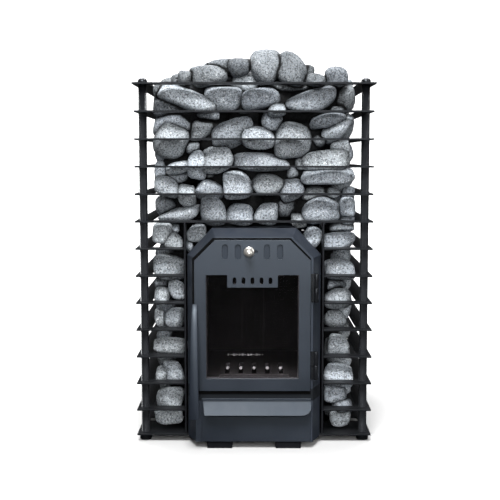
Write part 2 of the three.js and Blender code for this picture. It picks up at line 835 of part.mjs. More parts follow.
// Stones. Those in front are read off the picture by eye, a row for each space between two plates:
// column, row, half width, half height, tilt in degrees. The filling stands in for those behind.
const FRONT_STONES = [
  // heaped above the top plate
  [185, 78, 7, 7.5, 0], [209, 76, 19, 11, -8],
  [266, 66.5, 16.5, 17.5, 0], [292, 70, 17, 16, 20],
  [316, 80, 10, 7, 0], [336.5, 77, 12, 10.5, 0],
  // first space
  [188, 99, 31, 11, 16],
  [223.5, 99, 19.5, 12.5, 0], [261, 98.5, 20, 10.5, -8],
  [311, 101, 27, 11.5, -15], [277, 110, 9, 7, 0],
  // second space
  [170.5, 142, 17, 18, 20],
  [233, 134, 22, 15, -10], [257.5, 138, 18, 12, 0],
  [293.5, 140, 19.5, 18.5, 0], [328, 120.5, 19, 7.5, -6], [345, 129, 18, 9.5, -32],
  // third space
  [197, 165, 9.5, 15, 0], [217, 160, 17, 14, 0], [261, 162, 29, 10, 4],
  [325, 160, 26, 10.5, 0], [178, 168, 12, 6.5, -8],
  // fourth space
  [167.5, 187, 12.5, 11, 0], [187, 196, 9.5, 12, 0], [209, 190, 14.5, 11, 0],
  [238.5, 185, 15.5, 14.5, 0], [268.5, 184, 17, 11.5, 0], [328, 175, 27.5, 9.5, 0],
  [291, 189, 13, 11.5, -25],
  // fifth space
  [180, 215, 22, 7.5, -12], [214, 211, 13.5, 15, 0],
  [239, 214.5, 15.5, 11.5, -6], [266, 214, 12.5, 11.5, 0],
  [321, 210, 20, 14, 0], [349, 206.5, 8, 10, 0], [299, 220.5, 8, 7.5, 0],
  // sixth space, on both sides of the hood's top
  [157, 233, 10, 10.5, 0], [174, 240.5, 9.5, 8.5, 0], [197, 233, 10, 9, 0],
  [190, 246, 3.5, 6.5, 0], [312, 238, 9, 12, 20], [341, 240.5, 17, 9, 0],
  // columns beside the hood, left then right
  [166.5, 267, 16.5, 13, 0], [162.5, 296, 8, 9.5, 0], [177, 289, 8.5, 10, 0],
  [160, 318, 5.5, 9, 0], [174.5, 318, 10, 10.5, 0], [167, 346, 17, 9.5, -5],
  [174, 372, 11, 11, 0], [162, 375, 6, 9.5, 0], [170.5, 398, 14, 12, 0], [169, 414, 14.5, 8.5, 0],
  [339.5, 268.5, 15.5, 11, 0], [338, 298, 14.5, 10.5, 0], [335, 318, 11.5, 9.5, 0],
  [338.5, 344, 11, 11, 0], [338, 374.5, 15, 12, 0], [335.5, 393, 12, 9.5, 0],
  [342, 405.5, 10.5, 8, 0], [340, 416, 10.5, 9.5, 0],
];
// More of the heap behind the first ones: centre, then half sizes
const HEAP_STONES = [
  [-150, 108, 828, 48, 38, 24], [-80, 118, 842, 44, 34, 32], [96, 116, 840, 46, 36, 30],
  [172, 108, 826, 44, 38, 22], [-22, 178, 852, 40, 44, 36], [26, 228, 836, 36, 36, 28],
];
function fromPicture(column, row, y) {
  const drop = (row - EYE_ROW) / EYE_FOCAL;
  const reach = (y - EYE_Y) / (Math.cos(EYE_TILT) - drop * Math.sin(EYE_TILT));
  const z = EYE_Z - reach * (Math.sin(EYE_TILT) + drop * Math.cos(EYE_TILT));
  return { x: ((column - EYE_COLUMN) * reach) / EYE_FOCAL, z, unit: reach / EYE_FOCAL };
}
// A repeatable number from zero to one for the nth stone
const vary = (n) => {
  const s = Math.sin(n * 12.9898) * 43758.5453;
  return s - Math.floor(s);
};

// A stone from its middle and half sizes. Those that show least have fewer facets.
function boulder(x, y, z, a, b, c, tilt = 0, coarse = false) {
  const ball = coarse
    ? new THREE.IcosahedronGeometry(STONE_ROUND / COARSE_REACH, 0)
    : new THREE.OctahedronGeometry(STONE_ROUND, 1);
  return solid(
    ball
      .scale(a, b, c)
      .rotateY((tilt * Math.PI) / 180)
      .translate(x, y, z),
  );
}

// What the stones have to leave free
const lowLimit = ringZ(OPEN_RINGS - 1) + PLATE / 2;
const heapFloor = topFace - HEAP_SINK;
const pileTop = topFace + 2 * RING_PITCH;
const closedOff = wasm.Manifold.union([
  frontPlate(
    chamfered(
      -FIREBOX_HALF - GAP,
      FIREBOX_HALF + GAP,
      0,
      FIREBOX_TOP + GAP,
      CHAMFER_WIDE,
      CHAMFER_TALL,
    ),
    [],
    FIREBOX_DEPTH + GAP,
    FIREBOX_DEPTH + HOOD_DEPTH,
  ),
  box(-CAGE_WIDTH, CAGE_WIDTH, -CAGE_DEPTH, 2 * CAGE_DEPTH, 0, baseTop + GAP),
  solid(rod(0, flueY, FIREBOX_TOP - PAST, pileTop + PAST, FLUE_RADIUS + FLUE_CLEAR / 2, FLUE_SIDES)),
]);

// Stones and the filling behind them joined, kept to their own cells of the cage
function pile(name, stones, filling, cells) {
  const joined = wasm.Manifold.union([...stones, ...filling]);
  add(name, joined.intersect(wasm.Manifold.union(cells)).subtract(closedOff), stone);
}

const stoneEdge = cageInner - STONE_CLEAR;
const stoneFront = BAND + STONE_CLEAR;
const stoneBack = CAGE_DEPTH - BAND - STONE_CLEAR;
const within = (value, half, low, high) => Math.max(low + half, Math.min(high - half, value));

const groups = { lower_left: [], lower_right: [], upper_front: [], heap: [] };
for (const [column, row, halfWide, halfTall, tilt] of FRONT_STONES) {
  const unit = fromPicture(column, row, stoneFront + SIDE_DEEP).unit;
  const even = unit * Math.sqrt(halfWide * halfTall);
  const deep = Math.min(STONE_DEEP_MOST, Math.max(STONE_DEEP_LEAST, even));
  const y = stoneFront + STONE_ROUND * deep;
  const at = fromPicture(column, row, y);
  const x = within(at.x, STONE_ROUND * halfWide * at.unit, -stoneEdge, stoneEdge);
  const small = halfWide < SMALL_STONE;
  const made = boulder(x, y, at.z, halfWide * at.unit, deep, halfTall * at.unit, tilt, small);
  if (row < HEAP_ROW) groups.heap.push(made);
  else if (at.z > lowLimit || Math.abs(x) < JAMB_INNER) groups.upper_front.push(made);
  else groups[x < 0 ? "lower_left" : "lower_right"].push(made);
}
for (const [x, y, z, a, b, c] of HEAP_STONES) groups.heap.push(boulder(x, y, z, a, b, c, 0, true));

// A stone of a row along one side of the cage, in the space under a plate: place and half sizes
function inRow(face, row, j, count, start, end) {
  const n = 100 * face + 10 * row + j;
  const pitch = (end - start) / count;
  const top = ringZ(row + 1);
  const bottom = row + 2 > RING_COUNT ? baseTop : ringZ(row + 2) + PLATE;
  const wide = pitch * (0.41 + 0.05 * vary(n));
  const shift = row % 2 ? ROW_SHIFT : -ROW_SHIFT;
  return {
    along: within(start + pitch * (j + 0.5 + shift), STONE_ROUND * wide, start, end),
    z: (top + bottom) / 2,
    wide,
    deep: SIDE_DEEP + SIDE_DEEP_MORE * vary(n + 0.6),
    tall: ((top - bottom) / 2) * (0.86 + 0.1 * vary(n + 0.3)),
  };
}
const lowRows = Array.from({ length: RING_COUNT - OPEN_RINGS + 2 }, (_, i) => OPEN_RINGS - 2 + i);
const highRows = Array.from({ length: OPEN_RINGS - 2 }, (_, i) => i);

// Limits of the zones of stones and of the filling in them
const cellEdge = cageInner + CELL_OVER;
const cellBack = CAGE_DEPTH - BAND + CELL_OVER;
const middleCell = FLUE_RADIUS + FLUE_CLEAR;
const middleFill = middleCell - FLUE_CLEAR;
const middleBack = flueY - FLUE_RADIUS - FLUE_CLEAR - FILL_STEP;
const rearCell = FIREBOX_DEPTH + 2 * GAP;
const fillFront = BAND + FILL_FRONT;
const fillEdge = stoneEdge - SIDE_DEEP;
const fillBack = stoneBack - SIDE_DEEP;
const fillTop = heapFloor - GAP;
const fillBottom = FIREBOX_TOP - FILL_SINK;
const lowFill = [baseTop + FILL_RISE, lowLimit + FILL_LAP];

function sideStones(face, sign, rows, count, start, end) {
  const made = [];
  for (const row of rows)
    for (let j = 0; j < count; j++) {
      const s = inRow(face, row, j, count, start, end);
      const x = sign * (stoneEdge - STONE_ROUND * s.deep);
      made.push(boulder(x, s.along, s.z, s.deep, s.wide, s.tall, 0, true));
    }
  return made;
}
function rearStones(face, rows, count, start, end) {
  const made = [];
  for (const row of rows)
    for (let j = 0; j < count; j++) {
      const s = inRow(face, row, j, count, start, end);
      const y = stoneBack - STONE_ROUND * s.deep;
      made.push(boulder(s.along, y, s.z, s.wide, s.deep, s.tall, 0, true));
    }
  return made;
}
// Stones that lie on top of one half, beside the flue
function topStones(face, sign) {
  const made = [];
  const acrossPitch = (stoneEdge - middleCell) / TOP_COLUMNS;
  const backPitch = (stoneBack - FRONT_CELL) / HIGH_SIDE_COUNT;
  for (let i = 0; i < TOP_COLUMNS; i++)
    for (let j = 0; j < HIGH_SIDE_COUNT; j++) {
      const n = 100 * face + 10 * i + j;
      const deep = backPitch * (0.42 + 0.04 * vary(n + 0.5));
      const middle = FRONT_CELL + backPitch * (j + 0.5);
      made.push(
        boulder(
          sign * (middleCell + acrossPitch * (i + 0.5)),
          within(middle, STONE_ROUND * deep, FRONT_CELL, stoneBack),
          topFace - TOP_SINK + TOP_RISE * vary(n),
          acrossPitch * 0.44,
          deep,
          TOP_TALL + TOP_TALL_MORE * vary(n + 0.3),
          20 * vary(n + 0.2) - 10,
          true,
        ),
      );
    }
  return made;
}

for (const [side, sign, face] of [
  ["left", -1, 1],
  ["right", 1, 2],
]) {
  const ends = (a, b) => [sign * a, sign * b].sort((p, q) => p - q);
  const sideStart = stoneFront + 2 * SIDE_DEEP;
  pile(
    "stones_lower_" + side,
    [
      ...groups["lower_" + side],
      ...sideStones(face, sign, lowRows, LOW_SIDE_COUNT, sideStart, FIREBOX_DEPTH),
    ],
    [box(...ends(JAMB_INNER + FILL_STEP, fillEdge), fillFront, FIREBOX_DEPTH + FILL_LAP, ...lowFill)],
    [box(...ends(JAMB_INNER, cellEdge), 0, FIREBOX_DEPTH, 0, lowLimit - GAP)],
  );
  const fillAcross = ends(middleCell - FILL_LAP, fillEdge);
  const overFire = ends(middleCell + GAP, JAMB_INNER);
  pile(
    "stones_upper_" + side,
    [
      ...sideStones(face + 2, sign, highRows, HIGH_SIDE_COUNT, FRONT_CELL, stoneBack),
      ...rearStones(face + 4, highRows, HIGH_REAR_COUNT, ...ends(middleCell, stoneEdge)),
      ...topStones(face + 6, sign),
    ],
    [box(...fillAcross, FRONT_CELL - FILL_LAP, fillBack, fillBottom - FILL_LAP, fillTop - FILL_STEP)],
    [
      box(...ends(middleCell + GAP, cellEdge), FRONT_CELL + GAP, cellBack, lowLimit, pileTop),
      box(...overFire, FRONT_CELL + 2 * GAP, FIREBOX_DEPTH, fillBottom - SEAT_DROP, FLUE_TOP),
    ],
  );
}
pile(
  "stones_lower_rear",
  rearStones(9, lowRows, LOW_REAR_COUNT, -stoneEdge, stoneEdge),
  [box(-fillEdge, fillEdge, rearCell - FILL_LAP, fillBack, ...lowFill)],
  [box(-cellEdge, cellEdge, rearCell, cellBack, 0, lowLimit - GAP)],
);
const rearTop = [0, stoneBack - STONE_DEEP_MOST - FILL_STEP, topFace - TOP_SINK + STONE_CLEAR];
const behindFlue = flueY + FLUE_RADIUS;
pile(
  "stones_upper_rear",
  [
    ...rearStones(10, highRows, 1, -middleFill, middleFill),
    boulder(...rearTop, 0.8 * middleCell, FILL_FRONT, TOP_TALL, 0, true),
  ],
  [box(-middleFill, middleFill, behindFlue + PAST, fillBack, lowLimit - PAST, fillTop - FILL_STEP)],
  [box(-middleCell, middleCell, behindFlue, cellBack, lowLimit, pileTop)],
);
const frontFill = fillEdge + FILL_WIDER;
const frontBack = FRONT_CELL + FILL_LAP;
const middleFront = FRONT_CELL - FILL_FRONT;
const hoodCell = JAMB_INNER - GAP;
const hoodFill = FIREBOX_HALF - FILL_SINK;
const hoodFillFront = fillFront + FILL_LAP;
pile(
  "stones_upper_front",
  groups.upper_front,
  [
    box(-frontFill, frontFill, fillFront, frontBack, lowLimit + FILL_LAP, fillTop + FILL_LAP),
    box(-hoodFill, hoodFill, hoodFillFront, frontBack, fillBottom - FILL_STEP, fillTop - FILL_LAP),
    box(-middleFill, middleFill, middleFront, middleBack + FILL_LAP, fillBottom - PAST, fillTop + PAST),
  ],
  [
    box(-cellEdge, cellEdge, 0, FRONT_CELL, lowLimit, fillTop),
    box(-hoodCell, hoodCell, 0, FRONT_CELL - FILL_STEP, fillBottom - SEAT_DROP, lowLimit + SEAT_DROP),
    box(-middleCell, middleCell, middleFront - FILL_STEP, middleBack, fillBottom, fillTop - PAST),
  ],
);
const heapFill = fillEdge - FILL_RISE;
const heapFront = BAND + STONE_DEEP_LEAST + FILL_STEP;
const heapBottom = heapFloor - FILL_LAP;
pile(
  "stones_heap",
  groups.heap,
  [
    box(-heapFill, heapFill, heapFront, frontBack, heapBottom, topFace - FILL_STEP),
    box(-middleFill, middleFill, middleFront, middleBack + FILL_LAP, heapBottom, topFace),
  ],
  [
    box(-cellEdge, cellEdge, 0, FRONT_CELL, heapFloor, pileTop),
    box(-middleCell, middleCell, middleFront - FILL_STEP, middleBack, heapFloor + FLUE_CLEAR, pileTop - PAST),
  ],
);

part.position.y = -middleY;
export default part;
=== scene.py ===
import json
import math
import bmesh
import bpy
import numpy as np
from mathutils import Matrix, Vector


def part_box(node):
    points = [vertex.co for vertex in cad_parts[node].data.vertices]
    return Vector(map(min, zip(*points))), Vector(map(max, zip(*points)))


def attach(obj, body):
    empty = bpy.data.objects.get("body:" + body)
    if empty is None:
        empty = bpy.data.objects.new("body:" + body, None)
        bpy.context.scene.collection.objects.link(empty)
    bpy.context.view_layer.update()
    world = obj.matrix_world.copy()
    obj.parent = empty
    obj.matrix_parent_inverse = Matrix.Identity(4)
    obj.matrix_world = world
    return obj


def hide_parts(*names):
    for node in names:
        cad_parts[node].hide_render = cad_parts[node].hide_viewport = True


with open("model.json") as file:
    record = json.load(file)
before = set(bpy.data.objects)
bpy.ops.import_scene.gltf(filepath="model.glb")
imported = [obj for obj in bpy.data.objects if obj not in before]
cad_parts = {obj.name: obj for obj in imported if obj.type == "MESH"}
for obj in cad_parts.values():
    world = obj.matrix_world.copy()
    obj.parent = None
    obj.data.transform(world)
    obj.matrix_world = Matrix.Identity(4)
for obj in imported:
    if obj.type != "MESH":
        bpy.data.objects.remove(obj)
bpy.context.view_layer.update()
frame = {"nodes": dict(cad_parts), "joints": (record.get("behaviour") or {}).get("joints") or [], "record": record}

scene = bpy.context.scene
scene.view_settings.view_transform = "Standard"
bodyOf = {n: b for b, names in frame["record"]["behaviour"]["bodies"].items() for n in names}
slotOf = {s["node"]: s["material_slot"] for s in frame["record"]["subparts"]}
fineWeld, finestWeld = 1e-6, 1e-7


def corners(node):
    low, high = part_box(node)
    return np.array(low), np.array(high)


# Mesh helpers

def gridFaces(rows, columns, wrap=True):
    # quads of a grid with the points stored row by row; wrap joins the last column to the first
    r, c = np.meshgrid(np.arange(rows - 1), np.arange(columns if wrap else columns - 1), indexing="ij")
    right = (c + 1) % columns
    here, above = r * columns, (r + 1) * columns
    return np.stack([here + c, here + right, above + right, above + c], -1).reshape(-1, 4)


def weldMesh(mesh, distance):
    # joins the points that coincide and turns all faces outward
    bm = bmesh.new()
    bm.from_mesh(mesh)
    bmesh.ops.remove_doubles(bm, verts=bm.verts, dist=distance)
    bmesh.ops.recalc_face_normals(bm, faces=bm.faces)
    bm.to_mesh(mesh)
    bm.free()


def putPiece(name, points, faces, material, body, nodes=(), weld=0.0):
    mesh = bpy.data.meshes.new(name)
    mesh.from_pydata(np.asarray(points).tolist(), [], np.asarray(faces).tolist())
    if weld:
        weldMesh(mesh, weld)
    mesh.polygons.foreach_set("use_smooth", np.full(len(mesh.polygons), True))
    mesh.materials.append(material)
    piece = bpy.data.objects.new(name, mesh)
    scene.collection.objects.link(piece)
    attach(piece, body)
    if nodes:
        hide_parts(*nodes)
    return piece


def turned(profile, x, y, sides):
    # a turned shape: each profile point (radius, height) goes round an upright axis at x, y
    radius, height = np.array(profile, float).T
    turn = np.arange(sides) * 2 * math.pi / sides
    points = np.stack([
        x + radius[:, None] * np.cos(turn),
        y + radius[:, None] * np.sin(turn),
        np.repeat(height[:, None], sides, 1),
    ], -1)
    return points.reshape(-1, 3), gridFaces(len(profile), sides)


def roundEdge(r, z, cut, steps=4, up=True):
    # a quarter round at the rim (r, z), as profile points from the side to the end face
    t = np.linspace(0, math.pi / 2, steps + 1)
    sign = 1 if up else -1
    return [(r - cut + cut * math.cos(a), z - sign * cut + sign * cut * math.sin(a)) for a in t]


# Shader helpers

def newGroup(name, inputs, outputs):
    group = bpy.data.node_groups.new(name, "ShaderNodeTree")
    for label, kind, value in inputs:
        socket = group.interface.new_socket(label, in_out="INPUT", socket_type=kind)
        if value is not None:
            socket.default_value = value
    for label, kind in outputs:
        group.interface.new_socket(label, in_out="OUTPUT", socket_type=kind)
    return group, group.nodes.new("NodeGroupInput"), group.nodes.new("NodeGroupOutput")


def noise(nodes, links, vector, scale, detail=3.0, roughness=0.55):
    node = nodes.new("ShaderNodeTexNoise")
    node.inputs["Detail"].default_value = detail
    node.inputs["Roughness"].default_value = roughness
    if isinstance(scale, (int, float)):
        node.inputs["Scale"].default_value = scale
    else:
        links.new(scale, node.inputs["Scale"])
    links.new(vector, node.inputs["Vector"])
    return node.outputs["Fac"]


def spread(nodes, links, value, low, high, toLow=0.0, toHigh=1.0):
    node = nodes.new("ShaderNodeMapRange")
    for label, number in (("From Min", low), ("From Max", high), ("To Min", toLow), ("To Max", toHigh)):
        node.inputs[label].default_value = number
    links.new(value, node.inputs["Value"])
    return node.outputs["Result"]


def blendColours(nodes, links, factor, first, second):
    node = nodes.new("ShaderNodeMix")
    node.data_type = "RGBA"
    for socket, value in ((node.inputs[0], factor), (node.inputs[6], first), (node.inputs[7], second)):
        if isinstance(value, (tuple, float, int)):
            socket.default_value = value
        else:
            links.new(value, socket)
    return node.outputs[2]


def times(nodes, links, first, second):
    node = nodes.new("ShaderNodeMath")
    node.operation = "MULTIPLY"
    links.new(first, node.inputs[0])
    links.new(second, node.inputs[1])
    return node.outputs[0]


def mottleGroup():
    # two tones mixed by broad and fine noise, with the same noise given out for bump and gloss
    group, entry, leave = newGroup(
        "mottle",
        [("Vector", "NodeSocketVector", None), ("Broad", "NodeSocketFloat", 6.0),
         ("Fine", "NodeSocketFloat", 220.0), ("Dark", "NodeSocketColor", None),
         ("Light", "NodeSocketColor", None)],
        [("Color", "NodeSocketColor"), ("Broad Mask", "NodeSocketFloat"),
         ("Fine Mask", "NodeSocketFloat")],
    )
    nodes, links = group.nodes, group.links
    broad = noise(nodes, links, entry.outputs["Vector"], entry.outputs["Broad"], 4)
    broad = spread(nodes, links, broad, 0.3, 0.7)
    fine = noise(nodes, links, entry.outputs["Vector"], entry.outputs["Fine"], 2)
    mixed = nodes.new("ShaderNodeMath")
    mixed.operation = "MULTIPLY_ADD"
    mixed.inputs[1].default_value = 0.35
    links.new(spread(nodes, links, fine, 0.3, 0.7), mixed.inputs[0])
    links.new(spread(nodes, links, broad, 0, 1, 0, 0.65), mixed.inputs[2])
    colour = blendColours(nodes, links, mixed.outputs[0], entry.outputs["Dark"], entry.outputs["Light"])
    links.new(colour, leave.inputs["Color"])
    links.new(broad, leave.inputs["Broad Mask"])
    links.new(fine, leave.inputs["Fine Mask"])
    return group


def dustGroup():
    # a film of dust or ash that lies where the surface faces up, broken by noise
    group, entry, leave = newGroup(
        "dustFilm",
        [("Vector", "NodeSocketVector", None), ("Amount", "NodeSocketFloat", 0.3),
         ("Scale", "NodeSocketFloat", 14.0)],
        [("Mask", "NodeSocketFloat")],
    )
    nodes, links = group.nodes, group.links
    geometry = nodes.new("ShaderNodeNewGeometry")
    split = nodes.new("ShaderNodeSeparateXYZ")
    links.new(geometry.outputs["Normal"], split.inputs[0])
    up = spread(nodes, links, split.outputs["Z"], 0.35, 0.95)
    patches = noise(nodes, links, entry.outputs["Vector"], entry.outputs["Scale"], 5)
    patches = spread(nodes, links, patches, 0.35, 0.7)
    lying = times(nodes, links, up, patches)
    links.new(times(nodes, links, lying, entry.outputs["Amount"]), leave.inputs["Mask"])
    return group


mottle = mottleGroup()
dustFilm = dustGroup()


def startMaterial(name):
    material = bpy.data.materials.new(name)
    material.use_nodes = True
    nodes, links = material.node_tree.nodes, material.node_tree.links
    where = nodes.new("ShaderNodeTexCoord").outputs["Object"]
    return material, nodes, links, nodes["Principled BSDF"], where


def useMottle(nodes, links, where, broad, fine, dark, light):
    node = nodes.new("ShaderNodeGroup")
    node.node_tree = mottle
    links.new(where, node.inputs["Vector"])
    node.inputs["Broad"].default_value = broad
    node.inputs["Fine"].default_value = fine
    node.inputs["Dark"].default_value = (*dark, 1)
    node.inputs["Light"].default_value = (*light, 1)
    return node.outputs


def useDust(nodes, links, where, amount, scale):
    node = nodes.new("ShaderNodeGroup")
    node.node_tree = dustFilm
    links.new(where, node.inputs["Vector"])
    node.inputs["Amount"].default_value = amount
    node.inputs["Scale"].default_value = scale
    return node.outputs["Mask"]


def addBump(nodes, links, shader, height, strength, distance):
    node = nodes.new("ShaderNodeBump")
    node.inputs["Strength"].default_value = strength
    node.inputs["Distance"].default_value = distance
    links.new(height, node.inputs["Height"])
    links.new(node.outputs["Normal"], shader.inputs["Normal"])


# Finishes

bluePaint = dict(dark=(0.006, 0.0078, 0.012), light=(0.013, 0.0165, 0.024),
                 dust=(0.12, 0.12, 0.125), tint=(0.78, 0.89, 1.0, 1))
blackPaint = dict(dark=(0.004, 0.0044, 0.0052), light=(0.010, 0.0108, 0.0125),
                  dust=(0.04, 0.04, 0.0415), tint=(0.88, 0.93, 1.0, 1))
# painted light: a paler copy of the blue paint, for the hood, so that its top face looks as brightly lit as the
# door
paleLitPaint = dict(dark=(0.013, 0.016, 0.022), light=(0.028, 0.034, 0.046),
                 dust=(0.12, 0.12, 0.125), tint=(0.78, 0.89, 1.0, 1))
grain = dict(broad=9, fine=900, dust=0.10, dustScale=30, bump=0.10, height=0.0006)

# painted shade: the strip under the door is blackened and dulled to stand for the door's shadow on it
doorFoot = corners("door_panel")[0][2]
doorShadeBand = dict(low=doorFoot - 0.024, high=doorFoot + 0.004, soft=0.002,
             black=(0.002, 0.002, 0.0022, 1), most=0.9, rough=0.45)


def doorShadeMask(nodes, links, where):
    # one between the strip's two heights, fading out softly at both
    split = nodes.new("ShaderNodeSeparateXYZ")
    links.new(where, split.inputs[0])
    height, soft = split.outputs["Z"], doorShadeBand["soft"]
    above = spread(nodes, links, height, doorShadeBand["low"] - soft, doorShadeBand["low"] + soft)
    below = spread(nodes, links, height, doorShadeBand["high"] - soft, doorShadeBand["high"] + soft, 1, 0)
    return times(nodes, links, above, below)


def steelPaint(name, tones, gloss, sheen, shadedUnderDoor=False):
    # heat-proof paint: dark mottle, orange-peel grain, a little dust on top faces
    material, nodes, links, shader, where = startMaterial(name)
    tone = useMottle(nodes, links, where, grain["broad"], grain["fine"], tones["dark"], tones["light"])
    dust = useDust(nodes, links, where, grain["dust"], grain["dustScale"])
    colour = blendColours(nodes, links, dust, tone["Color"], (*tones["dust"], 1))
    rough = spread(nodes, links, tone["Broad Mask"], 0, 1, *gloss)
    # painted shade: the band under the door gets a near-black colour and more roughness, for the door's shadow
    if shadedUnderDoor:
        mask = doorShadeMask(nodes, links, where)
        cover = spread(nodes, links, mask, 0, 1, 0, doorShadeBand["most"])
        colour = blendColours(nodes, links, cover, colour, doorShadeBand["black"])
        dull = nodes.new("ShaderNodeMath")
        dull.operation = "MULTIPLY_ADD"
        dull.inputs[1].default_value = doorShadeBand["rough"]
        links.new(mask, dull.inputs[0])
        links.new(rough, dull.inputs[2])
        rough = dull.outputs[0]
    links.new(colour, shader.inputs["Base Color"])
    links.new(rough, shader.inputs["Roughness"])
    shader.inputs["Specular IOR Level"].default_value = sheen
    shader.inputs["Specular Tint"].default_value = tones["tint"]
    addBump(nodes, links, shader, tone["Fine Mask"], grain["bump"], grain["height"])
    return material


worn = dict(dark=(0.020, 0.019, 0.018), light=(0.060, 0.058, 0.056), ash=(0.20, 0.195, 0.185))


def heatedSteel():
    # bare steel darkened by heat, brushed along X, with ash where it lies flat
    material, nodes, links, shader, where = startMaterial("heatDarkenedSteel")
    stretch = nodes.new("ShaderNodeMapping")
    stretch.inputs["Scale"].default_value = (0.08, 1, 1)
    links.new(where, stretch.inputs["Vector"])
    tone = useMottle(nodes, links, stretch.outputs["Vector"], 40, 1400, worn["dark"], worn["light"])
    dust = useDust(nodes, links, where, 0.25, 40)
    colour = blendColours(nodes, links, dust, tone["Color"], (*worn["ash"], 1))
    links.new(colour, shader.inputs["Base Color"])
    links.new(spread(nodes, links, tone["Fine Mask"], 0.2, 0.8, 0.35, 0.6), shader.inputs["Roughness"])
    shader.inputs["Metallic"].default_value = 0.7
    addBump(nodes, links, shader, tone["Fine Mask"], 0.15, 0.0004)
    return material


brick = dict(dark=(0.005, 0.0048, 0.0048), light=(0.018, 0.0165, 0.016), mortar=(0.024, 0.023, 0.022),
             jointMiddle=-0.0035, jointHalf=0.029, jointWide=0.0009, jointEdge=2.2)


def fireBrick():
    # sooty fire brick; two upright joints stand at equal distances from the chamber's middle
    material, nodes, links, shader, where = startMaterial("sootyBrick")
    tone = useMottle(nodes, links, where, 16, 500, brick["dark"], brick["light"])
    split = nodes.new("ShaderNodeSeparateXYZ")
    links.new(where, split.inputs[0])
    value = split.outputs["X"]
    for operation, number in (("SUBTRACT", brick["jointMiddle"]), ("ABSOLUTE", 0),
                              ("SUBTRACT", brick["jointHalf"]), ("ABSOLUTE", 0)):
        step = nodes.new("ShaderNodeMath")
        step.operation = operation
        step.inputs[1].default_value = number
        links.new(value, step.inputs[0])
        value = step.outputs[0]
    joint = spread(nodes, links, value, brick["jointWide"], brick["jointEdge"] * brick["jointWide"], 1, 0)
    colour = blendColours(nodes, links, joint, tone["Color"], (*brick["mortar"], 1))
    links.new(colour, shader.inputs["Base Color"])
    shader.inputs["Roughness"].default_value = 0.9
    shader.inputs["Specular IOR Level"].default_value = 0.1
    addBump(nodes, links, shader, tone["Fine Mask"], 0.3, 0.0006)
    return material


# the rope's near-black tones also serve as painted shade for the dark gap round the door
rope = dict(dark=(0.002, 0.002, 0.002), light=(0.006, 0.006, 0.0065), strand=420.0, wobble=1.5)


def ropeSeal():
    # woven glass rope: slanting strands from a wave along the diagonal
    material, nodes, links, shader, where = startMaterial("wovenRope")
    wave = nodes.new("ShaderNodeTexWave")
    wave.bands_direction = "DIAGONAL"
    wave.inputs["Scale"].default_value = rope["strand"]
    wave.inputs["Distortion"].default_value = rope["wobble"]
    links.new(where, wave.inputs["Vector"])
    colour = blendColours(nodes, links, wave.outputs["Fac"], (*rope["dark"], 1), (*rope["light"], 1))
    links.new(colour, shader.inputs["Base Color"])
    shader.inputs["Roughness"].default_value = 0.95
    shader.inputs["Specular IOR Level"].default_value = 0.02
    addBump(nodes, links, shader, wave.outputs["Fac"], 0.6, 0.0008)
    return material


def fireGlass():
    # clear ceramic glass with a brownish-grey cast and faint smears
    material, nodes, links, shader, where = startMaterial("smokedFireGlass")
    shader.inputs["Base Color"].default_value = (0.66, 0.63, 0.68, 1)
    shader.inputs["Transmission Weight"].default_value = 1.0
    shader.inputs["IOR"].default_value = 1.45
    shader.inputs["Specular IOR Level"].default_value = 0.02
    smear = noise(nodes, links, where, 22, 5)
    links.new(spread(nodes, links, smear, 0.35, 0.75, 0.02, 0.09), shader.inputs["Roughness"])
    return material


def polishedSteel():
    # bright knob: satin-turned with faint marks
    material, nodes, links, shader, where = startMaterial("polishedSteel")
    shader.inputs["Base Color"].default_value = (0.55, 0.53, 0.495, 1)
    shader.inputs["Metallic"].default_value = 0.75
    marks = noise(nodes, links, where, 900, 2)
    links.new(spread(nodes, links, marks, 0.3, 0.7, 0.28, 0.36), shader.inputs["Roughness"])
    return material


stoneLook = dict(dark=(0.115, 0.126, 0.142), light=(0.45, 0.485, 0.525), green=(0.27, 0.30, 0.30),
                 blue=(0.24, 0.285, 0.34), fleck=(0.028, 0.029, 0.032), crystal=(0.82, 0.84, 0.85),
                 cast=0.35, darkest=0.02, palest=1.82)


def stoneSkin():
    # broken stone: each has its own tone and tint, with mottle, dark flecks and pale crystals; the tone attribute
    # also carries painted shade, so stones set back, deep in the pile and in creases are darker
    material, nodes, links, shader, where = startMaterial("brokenStone")
    tone = useMottle(nodes, links, where, 26, 300, stoneLook["dark"], stoneLook["light"])
    # the tone attribute holds each stone's own tone together with its painted shade
    own = nodes.new("ShaderNodeAttribute")
    own.attribute_name = "stoneToneAndShade"
    tint = nodes.new("ShaderNodeAttribute")
    tint.attribute_name = "stoneTint"
    green, blue = (*stoneLook["green"], 1), (*stoneLook["blue"], 1)
    cast = blendColours(nodes, links, tint.outputs["Fac"], green, blue)
    body = blendColours(nodes, links, stoneLook["cast"], tone["Color"], cast)
    pepper = spread(nodes, links, noise(nodes, links, where, 240, 3, 0.8), 0.48, 0.58, 0, 0.78)
    body = blendColours(nodes, links, pepper, body, (*stoneLook["fleck"], 1))
    salt = spread(nodes, links, noise(nodes, links, where, 290, 3, 0.8), 0.57, 0.68, 0, 0.7)
    body = blendColours(nodes, links, salt, body, (*stoneLook["crystal"], 1))
    bright = nodes.new("ShaderNodeHueSaturation")
    links.new(body, bright.inputs["Color"])
    value = spread(nodes, links, own.outputs["Fac"], -1, 1, stoneLook["darkest"], stoneLook["palest"])
    links.new(value, bright.inputs["Value"])
    links.new(bright.outputs["Color"], shader.inputs["Base Color"])
    shader.inputs["Roughness"].default_value = 0.8
    shader.inputs["Specular IOR Level"].default_value = 0.2
    rough = noise(nodes, links, where, 150, 6, 0.7)
    addBump(nodes, links, shader, rough, 0.7, 0.004)
    return material


paper = dict(dark=(0.50, 0.50, 0.50), light=(0.52, 0.52, 0.52), unseen=(0.012, 0.012, 0.012))


